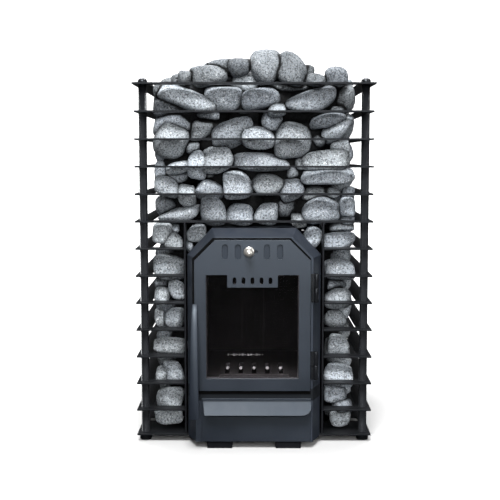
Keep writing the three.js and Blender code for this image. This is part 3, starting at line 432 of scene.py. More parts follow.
def paleFloor():
    # pale paper: the camera sees a paler one than the stove does, so that gaps stay dark
    material, nodes, links, shader, where = startMaterial("paleFloor")
    tone = useMottle(nodes, links, where, 1.5, 60, paper["dark"], paper["light"])
    rays = nodes.new("ShaderNodeLightPath").outputs["Is Camera Ray"]
    colour = blendColours(nodes, links, rays, (*paper["unseen"], 1), tone["Color"])
    links.new(colour, shader.inputs["Base Color"])
    shader.inputs["Roughness"].default_value = 0.9
    shader.inputs["Specular IOR Level"].default_value = 0.0
    return material


finishes = {
    "black_steel": steelPaint("satinBlueBlack", bluePaint, (0.33, 0.43), 0.55),
    "raw_steel": heatedSteel(),
    "fire_brick": fireBrick(),
    "rope_seal": ropeSeal(),
    "fire_glass": fireGlass(),
    "bright_steel": polishedSteel(),
    "stone": stoneSkin(),
}
cagePaint = steelPaint("satinBlack", blackPaint, (0.36, 0.46), 0.11)
barPaint = steelPaint("glossBlack", blackPaint, (0.18, 0.24), 0.36)
gripPaint = steelPaint("satinGrip", bluePaint, (0.36, 0.46), 0.34)
hoodPaint = steelPaint("satinHood", paleLitPaint, (0.38, 0.48), 0.30, shadedUnderDoor=True)
lipPaint = steelPaint("satinLip", bluePaint, (0.36, 0.46), 0.36, shadedUnderDoor=True)
legPaint = steelPaint("mattBlack", blackPaint, (0.60, 0.70), 0.02)
paintOf = dict(base_plate=cagePaint, front_hood=hoodPaint, door_handle=gripPaint, drawer_handle=lipPaint,
               air_slide=gripPaint, front_leg_left=legPaint, front_leg_right=legPaint,
               jamb_left=cagePaint, jamb_right=cagePaint)
paintOf.update({name: cagePaint for name in frame["nodes"] if name.startswith("ring_")})
for name, node in frame["nodes"].items():
    for place in node.material_slots:
        place.material = paintOf.get(name, finishes[slotOf[name]])
print("finishes:", len(finishes))

# Steel plates with broken edges

plates = dict(edge=0.0007, worn=dict(door_handle=0.0012, drawer_handle=0.0012, door_panel=0.0018),
              segments=2, sharp=25, flat=0.02, bent=("door_handle",))


def softened(node, edge, material):
    # a copy of a plate's solid whose sharp edges are eased, so that they catch the light
    mesh = frame["nodes"][node].data.copy()
    mesh.name = node + "_eased"
    bm = bmesh.new()
    bm.from_mesh(mesh)
    bmesh.ops.remove_doubles(bm, verts=bm.verts, dist=fineWeld)
    bmesh.ops.dissolve_limit(bm, angle_limit=plates["flat"], verts=bm.verts, edges=bm.edges)
    bm.to_mesh(mesh)
    bm.free()
    mesh.polygons.foreach_set("use_smooth", np.full(len(mesh.polygons), node in plates["bent"]))
    piece = bpy.data.objects.new(node + "_eased", mesh)
    scene.collection.objects.link(piece)
    bevel = piece.modifiers.new("eased", "BEVEL")
    bevel.width = edge
    bevel.segments = plates["segments"]
    bevel.limit_method = "ANGLE"
    bevel.angle_limit = math.radians(plates["sharp"])
    bevel.harden_normals = node in plates["bent"]
    for place in piece.material_slots:
        place.material = material
    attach(piece, bodyOf[node])
    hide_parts(node)
    return piece


eased = [n for n in frame["nodes"] if n.startswith(("ring_", "jamb_", "front_leg_"))]
eased += ["base_plate", "front_hood", "door_panel", "drawer_front", "drawer_handle", "door_handle",
          "grate"]
for name in eased:
    softened(name, plates["worn"].get(name, plates["edge"]), paintOf.get(name, finishes[slotOf[name]]))
# the pane lets lamp light straight in, as clear glass does
softened("door_glass", plates["edge"], finishes["fire_glass"]).visible_shadow = False
print("eased plates:", len(eased))

# Posts with their feet and domed nuts

post = dict(barRadius=0.0095, footCut=0.0015, footGap=0.0003, nutSkirt=0.25, domeSteps=8, sides=48)
for place in ("front_left", "front_right", "rear_left", "rear_right"):
    low, high = corners("post_" + place)
    nutLow, nutHigh = corners("cap_nut_" + place)
    x, y = (low + high)[:2] / 2
    footRadius = (high[0] - low[0]) / 2
    barRadius = post["barRadius"]
    footTop = corners("base_plate")[0][2] - post["footGap"]
    profile = [(0, low[2])]
    profile += roundEdge(footRadius, low[2], post["footCut"], up=False)[::-1]
    profile += roundEdge(footRadius, footTop, post["footCut"])
    profile += [(barRadius, footTop), (barRadius, high[2]), (0, high[2])]
    points, faces = turned(profile, x, y, post["sides"])
    putPiece("post_bar_" + place, points, faces, barPaint, "stove",
             ["post_" + place], weld=fineWeld)
    nutRadius = (nutHigh[0] - nutLow[0]) / 2
    nutTall = nutHigh[2] - nutLow[2]
    t = np.linspace(0, math.pi / 2, post["domeSteps"] + 1)
    rise = post["nutSkirt"] + (1 - post["nutSkirt"]) * np.sin(t)
    dome = list(zip(nutRadius * np.cos(t), nutLow[2] + nutTall * rise))
    points, faces = turned([(0, nutLow[2]), (nutRadius, nutLow[2])] + dome, x, y, post["sides"])
    putPiece("dome_nut_" + place, points, faces, barPaint, "stove",
             ["cap_nut_" + place], weld=fineWeld)
print("posts: 4")

# Flue pipe

flue = dict(wall=0.003, rim=0.0008, sides=96)
low, high = corners("flue_pipe")
radius = (high[0] - low[0]) / 2
x, y = (low + high)[:2] / 2
inner = radius - flue["wall"]
profile = [(inner, low[2]), (radius, low[2])]
profile += roundEdge(radius, high[2], flue["rim"])
profile += [(inner, high[2]), (inner, low[2])]
points, faces = turned(profile, x, y, flue["sides"])
putPiece("flue_tube", points, faces, finishes["black_steel"], "stove",
         ["flue_pipe"], weld=fineWeld)

# Air knob: disc and ball on a stem, turned about a level axis

knob = dict(stem=0.004, disc=0.012, ball=0.010, discBack=0.0004, backCut=0.0006, discRim=0.001,
            discFace=0.0019, faceCut=0.0008, collar=0.001, discFront=0.0024, ballFrom=-66, ballSteps=22,
            sides=64)
low, high = corners("air_knob")
doorLow, doorHigh = corners("door_panel")
knobX = (low[0] + high[0]) / 2
knobZ = (low[2] + high[2]) / 2
reach = doorLow[1] - low[1]
t = np.radians(np.linspace(knob["ballFrom"], 90, knob["ballSteps"]))
stemEnd = doorLow[1] - high[1]
profile = [(0, stemEnd), (knob["stem"], stemEnd), (knob["stem"], knob["discBack"])]
profile += [(knob["disc"] - knob["backCut"], knob["discBack"]), (knob["disc"], knob["discRim"])]
profile += [(knob["disc"] - knob["faceCut"], knob["discFace"])]
profile += [(knob["stem"] + knob["collar"], knob["discFront"])]
profile += [(knob["ball"] * math.cos(a), reach - knob["ball"] + knob["ball"] * math.sin(a)) for a in t]
points, faces = turned(profile, 0, 0, knob["sides"])
points = np.stack([points[:, 0] + knobX, doorLow[1] - points[:, 2], points[:, 1] + knobZ], -1)
putPiece("knob_turned", points, faces, finishes["bright_steel"], "air_slide",
         ["air_knob"], weld=finestWeld)
print("flue and knob done")

# Rope seal: a near-black rope round the door, showing past its edges and furthest below it, as painted shade for
# the dark gap round the door

# painted shade: outset, hingeSide and under set how far the rope shows past the door's edges, under the most, for
# the door's shadow below it
seal = dict(wide=0.011, thick=0.0026, outset=0.0045, hingeSide=0.0010, under=0.0080, chamfer=0.046,
            squash=0.7, around=20)


def ropeShadeRing():
    # a flattened round profile carried round the door's outline, cut at each corner on its mitre
    left, right = doorLow[0] - seal["outset"], doorHigh[0] + seal["hingeSide"]
    low, high = doorLow[2] - seal["under"], doorHigh[2] + seal["outset"]
    cut = seal["chamfer"]
    path = np.array([[left, low], [right, low], [right, high - cut], [right - cut, high],
                     [left + cut, high], [left, high - cut]])
    ahead = np.roll(path, -1, 0) - path
    ahead /= np.linalg.norm(ahead, axis=1)[:, None]
    inward = np.stack([-ahead[:, 1], ahead[:, 0]], -1)
    both = inward + np.roll(inward, 1, 0)
    mitre = both / np.sum(both * inward, 1)[:, None]
    a = np.arange(seal["around"]) * 2 * math.pi / seal["around"]
    across = seal["wide"] / 2 * (1 - np.cos(a))
    out = seal["thick"] / 2 * np.sign(np.sin(a)) * np.abs(np.sin(a)) ** seal["squash"]
    spot = path[:, None] + across[None, :, None] * mitre[:, None]
    gasketLow, gasketHigh = corners("door_gasket")
    y = np.broadcast_to((gasketLow[1] + gasketHigh[1]) / 2 + out, spot.shape[:2])
    ring = np.stack([spot[..., 0], y, spot[..., 1]], -1)
    ring = np.concatenate([ring, ring[:1]])
    return ring.reshape(-1, 3), gridFaces(len(ring), seal["around"])


points, faces = ropeShadeRing()
putPiece("door_rope", points, faces, finishes["rope_seal"], "door",
         ["door_gasket"], weld=fineWeld)

# Ash on the grate: one pale crumb to a slot, and a line of smaller ones behind; the pale crumbs in the slots are
# painted light, standing for bright spots of light seen through the slots

ash = dict(colour=(0.92, 0.91, 0.88), darker=0.6, grid=(9, 14),
           slots=5, pitch=0.032, back=0.080, half=(0.0040, 0.007, 0.0036), sunk=0.6,
           line=13, linePitch=0.0073, lineStart=-0.066, lineBack=0.045, lineHalf=(0.0030, 0.004, 0.0022),
           lineUp=0.5, lineSwell=0.35)


def ashGlintSkin():
    # pale wood ash, a little clotted, pale enough to stand as painted light in the grate's slots
    material, nodes, links, shader, where = startMaterial("paleAshGlints")
    shadow = [ash["darker"] * c for c in ash["colour"]]
    tone = useMottle(nodes, links, where, 300, 1500, shadow, ash["colour"])
    links.new(tone["Color"], shader.inputs["Base Color"])
    shader.inputs["Roughness"].default_value = 0.95
    addBump(nodes, links, shader, tone["Fine Mask"], 0.6, 0.001)
    return material


def ashCrumbGlints():
    # squat lumps: a ball whose radius is 1 plus two waves round it, squeezed to the slot's width
    grateLow, grateHigh = corners("grate")
    rows, columns = ash["grid"]
    lat = np.linspace(-math.pi / 2, math.pi / 2, rows)[:, None]
    lon = np.arange(columns) * 2 * math.pi / columns
    r = 1 + 0.12 * np.sin(3 * lon + 2 * lat) * np.cos(lat) + 0.08 * np.cos(5 * lon) * np.cos(lat)
    level = r * np.cos(lat)
    ball = np.stack([level * np.cos(lon), level * np.sin(lon), r * np.sin(lat)], -1).reshape(-1, 3)
    points = []
    for i in range(ash["slots"]):
        x = (i - (ash["slots"] - 1) / 2) * ash["pitch"]
        centre = (x, grateLow[1] + ash["back"], grateHigh[2] - ash["half"][2] * ash["sunk"])
        points.append(ball * ash["half"] + centre)
    for i in range(ash["line"]):
        swell = 1 + ash["lineSwell"] * math.sin(4 * i)
        x = ash["lineStart"] + i * ash["linePitch"]
        centre = (x, ash["lineBack"], grateHigh[2] + ash["lineHalf"][2] * ash["lineUp"])
        points.append(ball * ash["lineHalf"] * swell + centre)
    faces = [gridFaces(rows, columns) + i * len(ball) for i in range(len(points))]
    putPiece("grate_ash_glints", np.concatenate(points), np.concatenate(faces), ashGlintSkin(), "stove",
             weld=finestWeld)


ashCrumbGlints()

# Hinge barrels

hinge = dict(radius=0.005, cut=0.0007, gap=0.0006, leafIn=0.002, sides=40)


def barrel(node):
    # a round barrel and its leaf, a thin box; a frame half ends just under its door half
    low, high = corners(node)
    pinX, pinY = frame["joints"][0]["pos_m"][:2]
    if "door" in node:
        upper, leafY = high[2], (doorLow[1], doorHigh[1])
    else:
        above = corners(node.replace("frame", "door"))[0][2]
        upper, leafY = above - hinge["gap"], (pinY + hinge["leafIn"], high[1])
    profile = [(0, low[2])]
    profile += roundEdge(hinge["radius"], low[2], hinge["cut"], up=False)[::-1]
    profile += roundEdge(hinge["radius"], upper, hinge["cut"])
    profile += [(0, upper)]
    points, faces = turned(profile, pinX, pinY, hinge["sides"])
    outline = np.array([[low[0], leafY[0]], [pinX, leafY[0]], [pinX, leafY[1]], [low[0], leafY[1]]])
    leaf = np.concatenate([np.column_stack([outline, np.full(4, z)]) for z in (low[2], upper)])
    leafFaces = np.concatenate([gridFaces(2, 4), [[3, 2, 1, 0], [4, 5, 6, 7]]]) + len(points)
    piece = putPiece(node + "_barrel", np.concatenate([points, leaf]), np.concatenate([faces, leafFaces]),
                     barPaint, bodyOf[node], [node], weld=finestWeld)
    piece.data.polygons.foreach_set("use_smooth", np.arange(len(piece.data.polygons)) < len(faces))


for name in ("hinge_frame_upper", "hinge_frame_lower", "hinge_door_upper", "hinge_door_lower"):
    barrel(name)
print("rope seal, ash and hinges done")

# Camera, as read from the photograph: the lens is given in pixels of the square frame

view = dict(eye=(0.00003, -2.4134, 0.6605), pitch=5.573, yaw=0.241, focal=970.0, frameSize=500,
            middleColumn=254.3, middleRow=250.0, sensor=36)
camera = bpy.data.objects.new("camera", bpy.data.cameras.new("camera"))
camera.data.sensor_width = view["sensor"]
camera.data.lens = view["sensor"] * view["focal"] / view["frameSize"]
camera.location = view["eye"]
camera.rotation_euler = (math.radians(90 - view["pitch"]), 0, math.radians(view["yaw"]))
scene.collection.objects.link(camera)
scene.camera = camera
print("camera set")


def fromPicture(column, row, y):
    # the point at depth y behind a pixel, and the size of a pixel there
    tilt = math.radians(view["pitch"])
    drop = (row - view["middleRow"]) / view["focal"]
    reach = (y - view["eye"][1]) / (math.cos(tilt) - drop * math.sin(tilt))
    x = (column - view["middleColumn"]) * reach / view["focal"]
    return x, view["eye"][2] - reach * (math.sin(tilt) + drop * math.cos(tilt)), reach / view["focal"]


# Stones

cageLow, cageHigh = corners("ring_02")
band = corners("jamb_left")[1][1] - cageLow[1]
innerX = cageHigh[0] - band
frontY = cageLow[1] + band
backY = cageHigh[1] - band
topZ = corners("ring_01")[1][2]
fireHigh = corners("firebox_shell")[1]
splitZ = corners("ring_06")[1][2]
baseZ = corners("base_plate")[1][2]
plateThick = corners("ring_02")[1][2] - corners("ring_02")[0][2]
plateZ = [corners("ring_%02d" % n)[0][2] for n in range(1, 14)] + [baseZ]
piles = {n: [] for n in frame["nodes"] if n.startswith("stones_")}
stones = dict(planes=17, sharp=8.0, nearest=0.78, wave=0.025, waveCounts=(5, 7), clear=0.001, skin=0.0005,
              seed=40)

# column, row, half width, half height in pixels, tilt in degrees, steps back from the front
seen = [
    (185, 78, 7, 7.5, 0, 0), (209, 76, 19, 11, -8, 0), (228, 67, 20, 8, 6, 1),
    (240, 68, 12, 10, 0, 0), (245, 84, 13.5, 11, 0, 1), (266, 66.5, 16.5, 17.5, 0, 0),
    (292, 70, 17, 16, 20, 0), (316, 80, 10, 7, 0, 0), (336.5, 77, 12, 10.5, 0, 0),
    (155, 90, 8, 8, 0, 1), (190, 87, 17, 7, 15, 1), (188, 99, 31, 11, 16, 0),
    (168, 108, 17, 9, 0, 1), (223.5, 99, 19.5, 12.5, 0, 0), (261, 98.5, 20, 10.5, -8, 0),
    (292, 86, 22, 7, 0, 1), (311, 101, 27, 11.5, -15, 0), (277, 110, 9, 7, 0, 0),
    (338, 113, 9, 7, 0, 1), (347, 99, 10, 13, 0, 1), (346, 86, 7, 6, 0, 2), (246, 109, 10, 6, 0, 1),
    (170, 125, 20.5, 12.5, 0, 1), (170.5, 142, 17, 18, 20, 0), (208, 113, 12, 8, 0, 1),
    (203, 131, 12, 12, 0, 0.8), (233, 134, 22, 15, -10, 0), (257.5, 138, 18, 12, 0, 0),
    (272, 120, 11, 11, 0, 1), (293.5, 140, 19.5, 18.5, 0, 0), (328, 120.5, 19, 7.5, -6, 0),
    (345, 129, 18, 9.5, -32, 0), (319.5, 141, 7.5, 7, 0, 1), (340, 146, 10, 8, 0, 1),
    (193, 148, 7, 6, 0, 1), (197, 165, 9.5, 15, 0, 0), (217, 160, 17, 14, 0, 0),
    (261, 162, 29, 10, 4, 0), (325, 160, 26, 10.5, 0, 0), (178, 168, 12, 6.5, -8, 0),
    (160.5, 170, 6, 9, 0, 1), (301, 163, 7, 7, 0, 1), (167.5, 187, 12.5, 11, 0, 0),
    (178, 176, 12, 7, 0, 1), (187, 196, 9.5, 12, 0, 0), (209, 190, 14.5, 11, 0, 0),
    (238.5, 185, 15.5, 14.5, 0, 0), (268.5, 184, 17, 11.5, 0, 0), (328, 175, 27.5, 9.5, 0, 0),
    (291, 189, 13, 11.5, -25, 0), (292, 173, 7, 6, 0, 1), (315, 193, 14, 7, 0, 1),
    (331, 193, 10, 6, 0, 1), (347.5, 195, 7, 9, 0, 1), (206, 174, 12, 7, 0, 1),
    (168, 205, 10, 9.5, 0, 1), (180, 215, 22, 7.5, -12, 0), (214, 211, 13.5, 15, 0, 0),
    (239, 214.5, 15.5, 11.5, -6, 0), (240, 199, 13, 6, 0, 2), (266, 214, 12.5, 11.5, 0, 0),
    (286, 206, 11, 11, 0, 1), (321, 210, 20, 14, 0, 0), (349, 206.5, 8, 10, 0, 0),
    (299, 220.5, 8, 7.5, 0, 0), (347, 221, 8, 5, 0, 1), (262, 201, 8, 6, 0, 2),
    (157, 233, 10, 10.5, 0, 0), (174, 240.5, 9.5, 8.5, 0, 0), (170, 227, 10, 5.5, 0, 1),
    (197, 233, 10, 9, 0, 0), (190, 246, 3.5, 6.5, 0, 0), (312, 238, 9, 12, 20, 0),
    (341, 240.5, 17, 9, 0, 0), (344, 227, 13, 5, 0, 1), (166.5, 267, 16.5, 13, 0, 0),
    (162.5, 296, 8, 9.5, 0, 0), (177, 289, 8.5, 10, 0, 0), (158, 283, 7, 6, 0, 1),
    (160, 318, 5.5, 9, 0, 0), (174.5, 318, 10, 10.5, 0, 0), (167, 346, 17, 9.5, -5, 0),
    (174, 372, 11, 11, 0, 0), (162, 375, 6, 9.5, 0, 0), (170.5, 398, 14, 12, 0, 0),
    (169, 414, 14.5, 8.5, 0, 0), (167, 428, 15, 9, 0, 2), (339.5, 268.5, 15.5, 11, 0, 0),
    (338, 298, 14.5, 10.5, 0, 0), (337, 283, 10, 6, 0, 1), (335, 318, 11.5, 9.5, 0, 0),
    (338.5, 344, 11, 11, 0, 0), (329, 346, 5, 9, 0, 1), (338, 374.5, 15, 12, 0, 0),
    (335.5, 393, 12, 9.5, 0, 0), (342, 405.5, 10.5, 8, 0, 0), (340, 416, 10.5, 9.5, 0, 0),
    (336, 428, 12, 9, 0, 2),
]
front = dict(step=0.026, bulk=1.05, deepLeast=0.022, deepMost=0.042, usual=0.035, grid=(20, 32),
             heapRow=82, shade=0.25, topShade=0.22, heapShade=1.18, heapStep=0.08, heapEven=0.5)
# more of the heap behind the first row: centre (y from the cage's front), then half sizes
heapBehind = [
    (-0.150, 0.108, 0.828, 0.048, 0.038, 0.024), (-0.080, 0.118, 0.842, 0.044, 0.034, 0.032),
    (0.096, 0.116, 0.840, 0.046, 0.036, 0.030), (0.172, 0.108, 0.826, 0.044, 0.038, 0.022),
    (-0.022, 0.178, 0.852, 0.040, 0.044, 0.036), (0.026, 0.228, 0.836, 0.036, 0.036, 0.028),
    (0.040, 0.150, 0.822, 0.046, 0.040, 0.030), (-0.062, 0.190, 0.816, 0.034, 0.040, 0.026),
    (0.078, 0.196, 0.816, 0.034, 0.040, 0.026), (-0.020, 0.120, 0.826, 0.036, 0.030, 0.028),
]
behind = dict(tilt=12, grid=(16, 26))
rng = np.random.default_rng(stones["seed"])


def stoneShape(half, tilt, grid):
    # a worn stone: along a direction d the radius is the soft minimum of (distance / d.n) over
    # random facet planes n, stretched to its half sizes and tipped about Y
    rows, columns = grid
    lat = np.linspace(-math.pi / 2, math.pi / 2, rows)[:, None]
    lon = np.arange(columns) * 2 * math.pi / columns
    d = [np.sin(lat) + 0 * lon, np.cos(lat) * np.cos(lon), np.cos(lat) * np.sin(lon)]
    d = np.stack(d, -1).reshape(-1, 3)
    n = rng.normal(size=(stones["planes"], 3))
    n /= np.linalg.norm(n, axis=1)[:, None]
    n = np.concatenate([n, np.eye(3), -np.eye(3)])
    h = rng.uniform(stones["nearest"], 1.0, len(n))
    waveOne = rng.normal(size=3) * stones["waveCounts"][0]
    shift = rng.uniform(0, 6)
    waveTwo = rng.normal(size=3) * stones["waveCounts"][1]
    c, s = math.cos(math.radians(tilt)), math.sin(math.radians(tilt))

    def radius(d):
        facing = np.maximum(d @ n.T, 0) / h
        r = np.sum(facing ** stones["sharp"], 1) ** (-1 / stones["sharp"])
        return r * (1 + stones["wave"] * np.sin(d @ waveOne + shift) * np.cos(d @ waveTwo))

    p = d * radius(d)[:, None]
    middle, span = (p.max(0) + p.min(0)) / 2, (p.max(0) - p.min(0)) / 2
    p = (p - middle) / span * half

    def gap(q):
        # about how far points q, seen from this stone's centre, lie outside its skin
        level = np.stack([c * q[:, 0] - s * q[:, 2], q[:, 1], c * q[:, 2] + s * q[:, 0]], -1)
        raw = level / half * span + middle
        length = np.linalg.norm(raw, axis=1)
        return (1 - radius(raw / length[:, None]) / length) * np.linalg.norm(q, axis=1)

    return np.stack([c * p[:, 0] + s * p[:, 2], p[:, 1], c * p[:, 2] - s * p[:, 0]], -1), gap


# painted shade deep in the pile: points darken from start to full depth inside the cage, by most at the deepest,
# fading out within rise above the top plate
depthShade = dict(start=0.022, full=0.056, most=1.2, rise=0.015)


def lay(pile, centre, half, tilt, grid, shade=0.0):
    # shade darkens a whole stone, and each point is darkened more the deeper it lies in the cage: painted shade
    # for the shade deep inside the pile
    points, gap = stoneShape(np.array(half), tilt, grid)
    points = points + np.array(centre)
    points[:, 2] = np.maximum(points[:, 2], baseZ + stones["clear"])
    inward = np.minimum(points[:, 1] - frontY, backY - points[:, 1])
    inward = np.minimum(innerX - np.abs(points[:, 0]), inward)
    depth = np.clip((inward - depthShade["start"]) / (depthShade["full"] - depthShade["start"]), 0, 1)
    depth *= np.clip((topZ + depthShade["rise"] - points[:, 2]) / depthShade["rise"], 0, 1)
    own = rng.uniform()
    if pile == "stones_heap":
        own = front["heapEven"] + (1 - front["heapEven"]) * own
    tone = own - shade - depthShade["most"] * depth
    tint = np.full(len(points), rng.uniform())
    piles[pile].append(dict(points=points, grid=grid, tone=tone, tint=tint, gap=gap,
                            centre=np.array(centre), reach=max(half)))


for column, row, halfWide, halfTall, tilt, steps in seen:
    unit = fromPicture(column, row, frontY + front["usual"])[2]
    deep = front["bulk"] * unit * math.sqrt(halfWide * halfTall)
    deep = min(front["deepMost"], max(front["deepLeast"], deep))
    y = frontY + stones["clear"] + deep + front["step"] * steps
    x, z, unit = fromPicture(column, row, y)
    half = (halfWide * unit, deep, halfTall * unit)
    room = innerX - stones["clear"] - half[0]
    x = max(-room, min(room, x))
    if row < front["heapRow"]:
        pile = "stones_heap"
    elif z > splitZ or abs(x) < fireHigh[0]:
        pile = "stones_upper_front"
    else:
        pile = "stones_lower_left" if x < 0 else "stones_lower_right"
    darker = front["shade"] * steps
    if plateZ[1] < z < plateZ[0]:
        darker += front["topShade"]
    if pile == "stones_heap":
        darker = front["heapStep"] * steps + front["heapShade"]
    lay(pile, (x, y, z), half, tilt, front["grid"], darker)
for x, y, z, *half in heapBehind:
    tilt = rng.uniform(-behind["tilt"], behind["tilt"])
    lay("stones_heap", (x, cageLow[1] + y, z), half, tilt, behind["grid"], front["heapShade"])

sides = dict(deep=0.030, deepMore=0.005, wide=0.47, wideMore=0.06, tall=0.97, tallMore=0.12, shift=0.12,
             over=1.08, grid=(14, 22), frontCell=0.150, beside=0.064, middleGap=0.004, lowCount=3,
             highCount=3, lowRear=4, highRear=2, lowStart=2.0, highStart=1.8)
stoneEdge = innerX - stones["clear"]
stoneBack = backY - stones["clear"]
stoneFront = frontY + stones["clear"]
cellFront = cageLow[1] + sides["frontCell"]


def vary(n):
    # a repeatable number from zero to one for the nth stone
    s = math.sin(n * 12.9898) * 43758.5453
    return s - math.floor(s)


def within(value, half, low, high):
    # keeps a stone of this half size between two limits
    return max(low + half, min(high - half, value))


def inRow(face, row, j, count, start, end):
    # a stone of a row along one side, in the space under a plate: place along, height, half sizes
    n = 100 * face + 10 * row + j
    pitch = (end - start) / count
    high = plateZ[row]
    low = plateZ[row + 1] + (plateThick if row + 2 < len(plateZ) else 0)
    wide = sides["over"] * (pitch * (sides["wide"] + sides["wideMore"] * vary(n)))
    shift = sides["shift"] if row % 2 else -sides["shift"]
    along = within(start + pitch * (j + 0.5 + shift), wide, start, end)
    deep = sides["over"] * (sides["deep"] + sides["deepMore"] * vary(n + 0.6))
    tall = (high - low) / 2 * (sides["tall"] + sides["tallMore"] * vary(n + 0.3))
    return along, (high + low) / 2, wide, deep, tall


def sideRows(pile, face, sign, rows, count, start, end):
    # rows of stones along the left or right, each with its skin at the cage's edge
    for row in rows:
        for j in range(count):
            along, z, wide, deep, tall = inRow(face, row, j, count, start, end)
            lay(pile, (sign * (stoneEdge - deep), along, z), (deep, wide, tall), 0, sides["grid"])


def rearRows(pile, face, rows, count, start, end):
    # the same along the back
    for row in rows:
        for j in range(count):
            along, z, wide, deep, tall = inRow(face, row, j, count, start, end)
            lay(pile, (along, stoneBack - deep, z), (wide, deep, tall), 0, sides["grid"])


highRows, lowRows = range(5), range(5, 13)
top = dict(columns=2, wide=0.48, deep=0.45, deepMore=0.05, tall=0.024, tallMore=0.008, sunk=0.010,
           rise=0.012, tilt=10, shade=0.93, rearIn=0.045, rearSunk=0.008, rearHalf=(0.052, 0.040, 0.025))
for side, sign, face in (("left", -1, 1), ("right", 1, 2)):
    lower, upper = "stones_lower_" + side, "stones_upper_" + side
    across = sorted((sign * sides["beside"], sign * stoneEdge))
    lowStart = stoneFront + sides["lowStart"] * sides["deep"]
    highStart = stoneFront + sides["highStart"] * sides["deep"]
    sideRows(lower, face, sign, lowRows, sides["lowCount"], lowStart, fireHigh[1])
    sideRows(upper, face + 2, sign, highRows, sides["highCount"], cellFront, stoneBack)
    rearRows(upper, face + 4, highRows, sides["highRear"], *across)
    # the ends of the front and rear zones also show at the sides
    sideRows("stones_upper_front", face + 10, sign, highRows, 1, highStart, cellFront)
    sideRows("stones_lower_rear", face + 12, sign, lowRows, 1, fireHigh[1], stoneBack - sides["deep"])
    acrossPitch = (stoneEdge - sides["beside"]) / top["columns"]
    backPitch = (stoneBack - cellFront) / sides["highCount"]
    for i in range(top["columns"]):
        for j in range(sides["highCount"]):
            n = 100 * (face + 6) + 10 * i + j
            deep = sides["over"] * backPitch * (top["deep"] + top["deepMore"] * vary(n + 0.5))
            y = within(cellFront + backPitch * (j + 0.5), deep, cellFront, stoneBack)
            x = sign * (sides["beside"] + acrossPitch * (i + 0.5))
            z = topZ - top["sunk"] + top["rise"] * vary(n)
            half = (acrossPitch * top["wide"], deep, top["tall"] + top["tallMore"] * vary(n + 0.3))
            tilt = 2 * top["tilt"] * vary(n + 0.2) - top["tilt"]
            lay(upper, (x, y, z), half, tilt, sides["grid"], top["shade"])
rearMiddle = sides["beside"] - sides["middleGap"]
rearRows("stones_lower_rear", 9, lowRows, sides["lowRear"], -stoneEdge, stoneEdge)
rearRows("stones_upper_rear", 10, highRows, 1, -rearMiddle, rearMiddle)
lay("stones_upper_rear", (0, stoneBack - top["rearIn"], topZ - top["rearSunk"]), top["rearHalf"], 0,
    sides["grid"], top["shade"])

# the stones out of sight behind the first layer close the view through the pile
inside = dict(pitch=0.075, half=0.046, vary=0.1, grid=(8, 12), shade=1.4, floorGap=0.04, roofGap=0.03,
              frontSpan=(-0.17, 0.18), frontLayers=(0.085, 0.16), frontShift=0.012, sideStart=0.21,
              sideEnd=0.04, sideX=0.135, sideShift=0.01, lowGap=0.05, lowStart=0.11, lowOut=0.034,
              lowHalf=(0.032, 0.046, 0.044))


def hide(pile, centre, half):
    # a coarse, dark stone
    lay(pile, centre, half, 0, inside["grid"], inside["shade"])


def hiddenHalf():
    # half sizes that differ a little from stone to stone
    return inside["half"] * rng.uniform(1 - inside["vary"], 1 + inside["vary"], 3)


highLevels = np.arange(splitZ + inside["floorGap"], topZ - inside["roofGap"], inside["pitch"])
lowLevels = np.arange(baseZ + inside["lowGap"], splitZ - inside["roofGap"], inside["pitch"])
for z in highLevels:
    for x in np.arange(*inside["frontSpan"], inside["pitch"]):
        for layer in inside["frontLayers"]:
            half = hiddenHalf()
            shifted = x + rng.uniform(-inside["frontShift"], inside["frontShift"])
            hide("stones_upper_front", (shifted, frontY + layer, z), half)
for z in highLevels:
    for y in np.arange(frontY + inside["sideStart"], backY - inside["sideEnd"], inside["pitch"]):
        for side, sign in (("left", -1), ("right", 1)):
            half = hiddenHalf()
            x = sign * (inside["sideX"] + rng.uniform(-inside["sideShift"], inside["sideShift"]))
            hide("stones_upper_" + side, (x, y, z), half)
for z in lowLevels:
    for y in np.arange(frontY + inside["lowStart"], fireHigh[1], inside["pitch"]):
        for side, sign in (("left", -1), ("right", 1)):
            x = sign * (fireHigh[0] + inside["lowOut"])
            hide("stones_lower_" + side, (x, y, z), inside["lowHalf"])

# painted shade in the creases between stones: how wide it reaches and how dark it gets
creaseShade = dict(wide=0.0090, most=1.2)


def paintCreaseShade(stone, others):
    # painted shade: a stone's skin darkens towards every place where another stone touches it, for the shade in
    # the creases between stones
    close = np.zeros(len(stone["points"]))
    for other in others:
        apart = np.linalg.norm(stone["centre"] - other["centre"])
        if other is not stone and apart < stone["reach"] + other["reach"] + creaseShade["wide"]:
            gap = other["gap"](stone["points"] - other["centre"])
            close = np.maximum(close, np.clip(1 - gap / creaseShade["wide"], 0, 1))
    stone["tone"] = stone["tone"] - creaseShade["most"] * close ** 2


everyStone = [stone for laid in piles.values() for stone in laid]
for stone in everyStone:
    paintCreaseShade(stone, everyStone)
for pile, laid in piles.items():
    points = np.concatenate([stone["points"] for stone in laid])
    counts = [len(stone["points"]) for stone in laid]
    starts = np.concatenate([[0], np.cumsum(counts)[:-1]])
    faces = [gridFaces(*stone["grid"])[:, ::-1] + start for stone, start in zip(laid, starts)]
    faces = np.concatenate(faces)
    points[:, 0] = np.clip(points[:, 0], -innerX + stones["skin"], innerX - stones["skin"])
    piece = putPiece(pile + "_broken", points, faces, finishes["stone"], "stove", [pile])
    for label, key in (("stoneToneAndShade", "tone"), ("stoneTint", "tint")):
        layer = piece.data.attributes.new(label, "FLOAT", "POINT")
        values = np.concatenate([stone[key] for stone in laid])
        layer.data.foreach_set("value", values.astype(np.float32))
    weldMesh(piece.data, fineWeld)
print("stones:", len(everyStone))

# Floor, light and air

studio = dict(half=6.0, wall=4.5, bend=2.0, bendSteps=16, air=0.03)


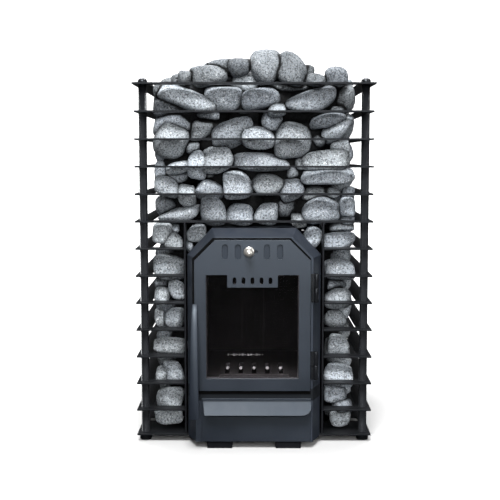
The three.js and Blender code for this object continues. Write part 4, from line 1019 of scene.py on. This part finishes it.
def backdrop():
    # a floor that bends up into a wall: floor line, quarter round, wall line carried across X
    a = np.linspace(0, math.pi / 2, studio["bendSteps"])
    bendY = studio["wall"] - studio["bend"] + studio["bend"] * np.sin(a)
    y = np.concatenate([[-studio["half"]], bendY, [studio["wall"]]])
    z = np.concatenate([[0], studio["bend"] * (1 - np.cos(a)), [2 * studio["wall"]]])
    x = np.array([-studio["half"], studio["half"]])
    points = np.stack([np.tile(x, len(y)), np.repeat(y, 2), np.repeat(z, 2)], -1)
    mesh = bpy.data.meshes.new("floor")
    mesh.from_pydata(points.tolist(), [], gridFaces(len(y), 2, wrap=False).tolist())
    mesh.polygons.foreach_set("use_smooth", np.full(len(mesh.polygons), True))
    mesh.materials.append(paleFloor())
    floor = bpy.data.objects.new("floor", mesh)
    scene.collection.objects.link(floor)


backdrop()
lamps = [
    dict(name="key", at=(-0.25, -2.4, 3.1), aim=(0, 0, 0.5), size=1.3, power=245),
    dict(name="frontPanel", at=(0.2, -4.8, 1.5), aim=(0, 0, 0.6), size=2.4, power=150),
    dict(name="overhead", at=(0, 0.3, 2.8), aim=(0, 0, 0.6), size=2.2, power=40),
    dict(name="rightFill", at=(2.6, -1.8, 1.4), aim=(0, 0, 0.5), size=1.4, power=30),
    dict(name="rearFill", at=(-2.4, 2.4, 1.8), aim=(0, 0, 0.5), size=1.2, power=45),
    dict(name="backWash", at=(0, 1.6, 3.4), aim=(0, 4.4, 0.6), size=3.0, power=520),
]
for lamp in lamps:
    light = bpy.data.lights.new(lamp["name"], "AREA")
    light.size = lamp["size"]
    light.energy = lamp["power"]
    holder = bpy.data.objects.new(lamp["name"], light)
    holder.location = lamp["at"]
    away = np.array(lamp["at"]) - np.array(lamp["aim"])
    flat = math.hypot(away[0], away[1])
    holder.rotation_euler = (math.atan2(flat, away[2]), 0, math.atan2(away[0], -away[1]))
    scene.collection.objects.link(holder)
world = bpy.data.worlds.new("softWhite")
world.use_nodes = True
nodes, links = world.node_tree.nodes, world.node_tree.links
sky = nodes["Background"]
rays = nodes.new("ShaderNodeLightPath").outputs["Is Camera Ray"]
links.new(spread(nodes, links, rays, 0, 1, studio["air"], 1), sky.inputs["Strength"])
sky.inputs["Color"].default_value = (1, 1, 1, 1)
scene.world = world
print("stage set")
